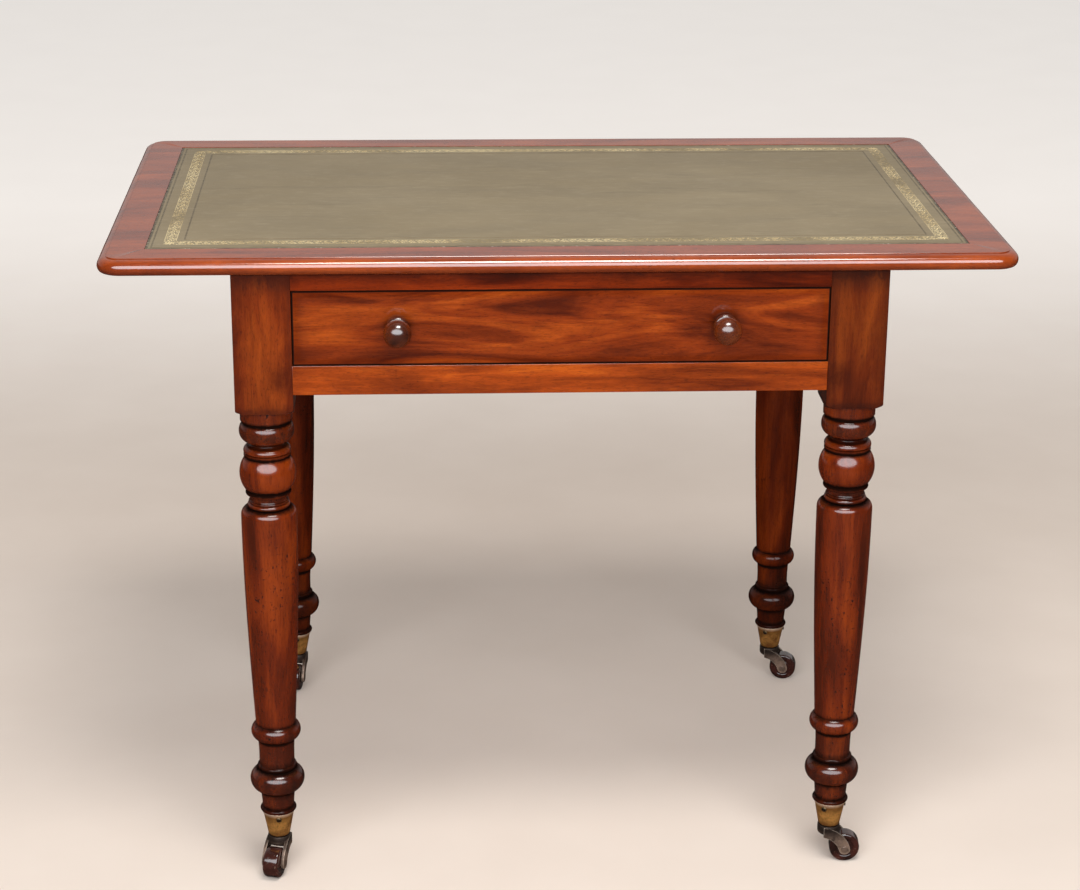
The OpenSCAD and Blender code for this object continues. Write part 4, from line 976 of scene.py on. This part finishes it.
border = build_border()
motif_holder = in_scene("scroll repeat", scroll)
half_w, half_d = TOP_W / 2 - GILT_MARGIN, TOP_D / 2 - GILT_MARGIN
inner_w, inner_d = half_w - BAND / 2, half_d - BAND / 2
sides = [
    border_side((-inner_w, -half_d), (inner_w, -half_d), 0),
    border_side((half_w, -inner_d), (half_w, inner_d), 90),
    border_side((inner_w, half_d), (-inner_w, half_d), 180),
    border_side((-half_w, inner_d), (-half_w, -inner_d), 270),
]
bpy.data.objects.remove(motif_holder)
print("faces along each side:", [len(s.polygons) for s in sides])

# %% [markdown]
# At each corner the binder stops the wheel and strikes a single rosette. It covers the place where two
# runs would otherwise collide. The leaf then gets its thickness, so that its ornament is closed and real.

# %% Corner rosettes
def rosette_mesh(x, y):
    work = bmesh.new()
    for petal in range(8):
        t = math.radians(45 * petal)
        ribbon = [(r * math.cos(t + 0.35 * math.sin(r / 2)), r * math.sin(t + 0.35 * math.sin(r / 2)))
                  for r in (1.4, 2.4, 3.4, 4.4, 5.4, 6.2)]
        stroke(work, ribbon, 1.5)
    dot(work, 0, 0, 1.1, 10)
    for spot in range(4):
        t = math.radians(45 + 90 * spot)
        dot(work, 7.4 * math.cos(t), 7.4 * math.sin(t), 0.6)
    return moved(baked("rosette", work, gilt), Matrix.Translation((x * MM, (y + CENTRE_Y) * MM, GILT_Z * MM)))


rosettes = [rosette_mesh(sx * half_w, sy * half_d) for sx in (-1, 1) for sy in (-1, 1)]
gilt_border = settle("gilt_border", joined("gilt border", sides + rosettes), "table")
leaf = gilt_border.modifiers.new("Thickness of the leaf", "SOLIDIFY")
leaf.thickness, leaf.offset = GILT_T * MM, -1

# %% [markdown]
# ## Boards with eased edges
# Rails and drawer front are plain boards, but no real board has a perfectly sharp edge: the arris is
# rubbed down about half a millimetre, and that narrow facet is what draws the thin bright lines along the
# drawer. The solid's own mesh is copied, its loose triangles are welded, and a bevel eases every edge.

# %% Ease the edges of the boards
CRISP_ARRIS = 50


def eased(node, finish, width=0.5, segments=2):
    """A solid's own shape with its edges bevelled."""
    work = bmesh.new()
    work.from_mesh(nodes[node].data)
    bmesh.ops.remove_doubles(work, verts=work.verts, dist=2e-6)
    bmesh.ops.dissolve_limit(work, angle_limit=math.radians(1), verts=work.verts, edges=work.edges)
    obj = in_scene(node + " blank", baked(node + " blank", work, finish))
    bevel = obj.modifiers.new("Eased edges", "BEVEL")
    bevel.width, bevel.segments = width * MM, segments
    bevel.limit_method, bevel.angle_limit = "ANGLE", math.radians(CRISP_ARRIS)
    result = plain_mesh(obj, node + " eased")
    work = bmesh.new()
    work.from_mesh(result)
    shade(work, CRISP_ARRIS)
    bmesh.ops.triangulate(work, faces=[f for f in work.faces if len(f.verts) > 4])
    work.to_mesh(result)
    work.free()
    return result


for node, finish, width in (
    ("front_top_rail", dark_rail_wood_in_painted_shade, 0.4), ("front_lower_rail", front_wood, 0.6),
    ("side_rail_left", side_wood, 0.6), ("side_rail_right", side_wood, 0.6), ("back_rail", front_wood, 0.6),
):
    settle("eased_" + node, eased(node, finish, width), "table", [node])
settle("eased_drawer_front", eased("drawer_front", drawer_wood, 0.5), "drawer", ["drawer_front"])

# %% [markdown]
# ## The knobs
# Turned mahogany, darker than the drawer from handling. The same lathe makes them; they are only laid
# over so that their axis points out of the drawer front.

# %% Turn the knobs
KNOB_OUT, KNOB_SHANK = 36, 13


def knob_outline():
    """From the end of its pin inside the drawer front out to the middle of its face."""
    widest = KNOB_SHANK + 0.43 * (KNOB_OUT - KNOB_SHANK)
    return (
        [(0, -19), (6, -19), (6, 0)]
        + bow(9.45, 3.75, 3.75, 3.75, -90, 72, 14)
        + [(9.4, 7.9), (8.75, 8.8), (8.6, 10.2), (8.6, 12.0)]
        + bow(8.6, widest, 6.2, widest - KNOB_SHANK, -84, 0, 14)
        + bow(0, widest, 14.8, KNOB_OUT - widest, 4, 90, 20)
    )


knob = turn("knob", knob_outline(), knob_wood, facets=72)
lay_over = Matrix.Rotation(math.radians(90), 4, "X")
for side in ("left", "right"):
    low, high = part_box("drawer_knob_" + side)
    foot = Vector(((low.x + high.x) / 2, low.y + KNOB_OUT * MM, (low.z + high.z) / 2))
    settle("turned_knob_" + side, moved(knob, Matrix.Translation(foot) @ lay_over), "drawer",
           ["drawer_knob_" + side])

# %% [markdown]
# ## The castors
# A cup of cast and turned brass holds the end of the leg. Below it a fork swivels, and between the horns
# of the fork a glazed wheel runs. Cup and wheel come off the lathe; the fork keeps the solid's shape and
# gets eased edges, which is where the old metal shines.

# %% Cups, forks and wheels
def cup_outline():
    foot, floor, below_rim = CUP_Z, CUP_Z + 4, CUP_TOP - 2.4
    return (
        [(3.56, foot)] + bow(9, foot + 3.4, 3.4, 3.4, -90, -10, 10) + [(17.2, below_rim)]
        + bow(17.2, CUP_TOP - 1.6, 0.8, 0.8, -60, 0, 5) + bow(17.2, CUP_TOP - 0.8, 0.8, 0.8, 0, 90, 6)
        + [(15.4, CUP_TOP), (15.4, below_rim), (11.27, floor), (3.56, floor)]
    )


def wheel_outline():
    """One face of the wheel out to its tread, and the same mirrored."""
    face = [(3.1, 9), (7.1, 9), (7.6, 8.8), (8.5, 8.2), (10.2, 8.2), (10.8, 8.45), (11.2, 8.8)]
    face += bow(14.6, 6.4, 2.4, 2.4, 90, 0, 8) + [(WHEEL_R, 2)]
    return [(x, -z) for x, z in face] + face[::-1]


cup = turn("castor cup", cup_outline(), brass, facets=80, closed=True)
wheel = turn("castor wheel", wheel_outline(), glaze, facets=80, closed=True)
hub = Matrix.Translation((TRAIL * MM, 0, WHEEL_R * MM)) @ lay_over
for corner, (_, _, heading) in CORNERS.items():
    stand, aim = Matrix.Translation(leg_axis(corner)), Matrix.Rotation(math.radians(heading), 4, "Z")
    settle("brass_cup_" + corner, moved(cup, stand), "table", ["castor_cup_" + corner])
    settle("glazed_wheel_" + corner, moved(wheel, stand @ aim @ hub), "wheel_" + corner,
           ["castor_wheel_" + corner])
    settle("fork_" + corner, eased("castor_fork_" + corner, bronze, 0.45), "fork_" + corner,
           ["castor_fork_" + corner])

# %% [markdown]
# ## Finishes for the solids that stay
# The drawer's sides and bottom, the runners and blocks, the screws, pins and axles are right as they are.
# Their own meshes stay untouched, and only their material slots are filled.

# %% Coat the remaining solids
COATS = {
    "drawer_side_": oak_y, "drawer_runner_": oak_y, "drawer_guide_": oak_y, "drawer_kicker_": oak_y,
    "drawer_slips": oak_y, "drawer_back": oak_x, "drawer_bottom_screws": screw_brass, "drawer_bottom": oak_x,
    "drawer_stops": oak_x, "glue_blocks": pine_x, "top_screws": steel, "castor_cup_screws_": screw_brass,
    "castor_swivel_pin_": steel, "castor_axle_": dark_iron,
    "front_top_rail": front_wood, "front_lower_rail": front_wood, "back_rail": front_wood,
    "side_rail_": side_wood, "drawer_front": drawer_wood, "table_top": top_wood,
    "leather_writing_surface": leather, "leg_": leg_wood, "drawer_knob_": knob_wood,
    "castor_cup_": brass, "castor_fork_": bronze, "castor_wheel_": glaze,
}
coated = 0
for name, obj in nodes.items():
    for start, coat in COATS.items():
        if name.startswith(start):
            if not obj.material_slots:
                obj.data.materials.append(coat)
            for slot in obj.material_slots:
                slot.link = "OBJECT"
                slot.material = coat
            coated += 1
            break
print("solids coated:", coated, "of", len(nodes))

# %% [markdown]
# ## Floor, light and camera
# A plain pale floor keeps the table's shadow. In mirrors it is dark, and far behind the table it glows a
# little for the camera alone, so that it runs into the pale background without a line. Lamps alone would
# light the table too, but polish needs a room to mirror. So the surround is a pale room in three parts:
# what the camera sees, what lights the table, and what the polish mirrors, brighter behind.

# %% Floor and surround
FLOOR_REACH = 14
GLOW_FROM, GLOW_FULL = 0.8, 3.0


def make_floor(mirrored=0.06):
    paint = Finish("Pale floor")
    cloud = paint.noise(paint.where, 6.0, 3.0, 0.5)
    pale = paint.ramp(cloud, [(0.3, (0.84, 0.725, 0.635)), (0.7, (0.87, 0.755, 0.665))])
    dimmed = paint.blend(1.0, pale, (mirrored, mirrored, mirrored), "MULTIPLY")
    away = paint.step("ShaderNodeMapRange", {"Value": paint.axis("Y"), "From Min": GLOW_FROM,
                                             "From Max": GLOW_FULL}, interpolation_type="SMOOTHSTEP")
    ray = paint.node("ShaderNodeLightPath").outputs
    mesh = bpy.data.meshes.new("floor")
    mesh.from_pydata([(x * FLOOR_REACH, y * FLOOR_REACH, 0) for x, y in QUARTERS], [], [(0, 1, 2, 3)])
    mesh.materials.append(paint.finish(
        paint.blend(ray["Is Glossy Ray"], pale, dimmed), 0.9, Emission_Color=(0.43, 0.445, 0.45),
        Emission_Strength=paint.sum(away, ray["Is Camera Ray"], "MULTIPLY"), Specular_IOR_Level=0.1))
    floor = in_scene("floor", mesh)


def make_surround(seen=0.72, lit=0.35, near=0.04, far=0.42):
    world = bpy.data.worlds.new("Pale room")
    world.use_nodes = True
    world.node_tree.nodes.clear()
    bpy.context.scene.world = world
    room = Graph(world.node_tree)

    def sky(colour, strength):
        return room.step("ShaderNodeBackground", {"Color": colour, "Strength": strength})

    def mixed(amount, first, second):
        return room.step("ShaderNodeMixShader", {0: amount, 1: first, 2: second})

    towards = room.node("ShaderNodeSeparateXYZ", {0: room.node("ShaderNodeTexCoord").outputs["Generated"]})
    depth = room.step("ShaderNodeMapRange", {
        "Value": towards.outputs["Y"], "From Min": -0.1, "From Max": 0.8, "To Min": near, "To Max": far})
    ray = room.node("ShaderNodeLightPath").outputs
    mirrored = room.sum(ray["Is Glossy Ray"], ray["Is Transmission Ray"], "MAXIMUM")
    soft = mixed(mirrored, sky((1.0, 0.97, 0.94), lit), sky((1.0, 0.97, 0.95), depth))
    room.node("ShaderNodeOutputWorld", {
        0: mixed(ray["Is Camera Ray"], soft, sky((seen, seen * 0.99, seen * 0.97), 1.0))})


make_floor()
make_surround()
print("floor and surround ready")

# %% [markdown]
# The photograph shows soft shadows and broad highlights on the polish. A sun or a spot would draw hard ones,
# so the main light is one wide cool ellipse behind the camera, like a window. A small warm lamp overhead
# lifts the top and the mouldings.

# %% Lamps
LAMP_AIM = Vector((0, 0, 0.5))


def lamp(name, place, width, height, watts, colour):
    light = bpy.data.lights.new(name, "AREA")
    light.shape = "ELLIPSE"
    light.size, light.size_y, light.energy, light.color = width, height, watts, colour
    obj = in_scene(name, light)
    obj.location = place
    obj.rotation_euler = (LAMP_AIM - Vector(place)).to_track_quat("-Z", "Y").to_euler()


lamp("Window behind the camera", (-0.3, -3.7, 2.45), 6.6, 2.8, 192, (0.92, 0.96, 1.0))
lamp("Lamp overhead", (0.2, -1.2, 3.2), 1.4, 0.9, 42, (1.0, 0.97, 0.93))

# %% [markdown]
# The camera stands where the table's own edges say it stood: almost three metres back, at standing height,
# with a long lens. The fit gave its place in metres from the middle of the top on the floor, its angles in
# degrees and its focal length in pixels of the photograph's width.

# %% Camera
IMAGE_W, FOCAL_PX, SENSOR = 1080, 2507.31, 36
PITCH, YAW, ROLL = 19.503, 3.003, 0.383
CAMERA_PLACE = Vector((-0.15396, -2.79105 + CENTRE_Y * MM, 1.40851))


def place_camera():
    pitch, yaw, roll = (math.radians(a) for a in (PITCH, YAW, ROLL))
    ahead = Vector((math.cos(pitch) * math.sin(yaw), math.cos(pitch) * math.cos(yaw), -math.sin(pitch)))
    across = Vector((math.cos(yaw), -math.sin(yaw), 0))
    right = math.cos(roll) * across + math.sin(roll) * across.cross(ahead)
    turned = Matrix((right, right.cross(ahead), -ahead)).transposed().to_4x4()
    optics = bpy.data.cameras.new("Camera")
    optics.sensor_fit, optics.sensor_width, optics.clip_end = "HORIZONTAL", SENSOR, 60
    optics.lens = FOCAL_PX / IMAGE_W * SENSOR
    obj = in_scene("Camera", optics)
    obj.matrix_world = Matrix.Translation(CAMERA_PLACE) @ turned
    bpy.context.scene.camera = obj
    return obj


camera = place_camera()
bpy.context.scene.view_settings.view_transform = "Standard"
print("camera at", [round(v, 3) for v in camera.location], "lens", round(camera.data.lens, 2), "mm")
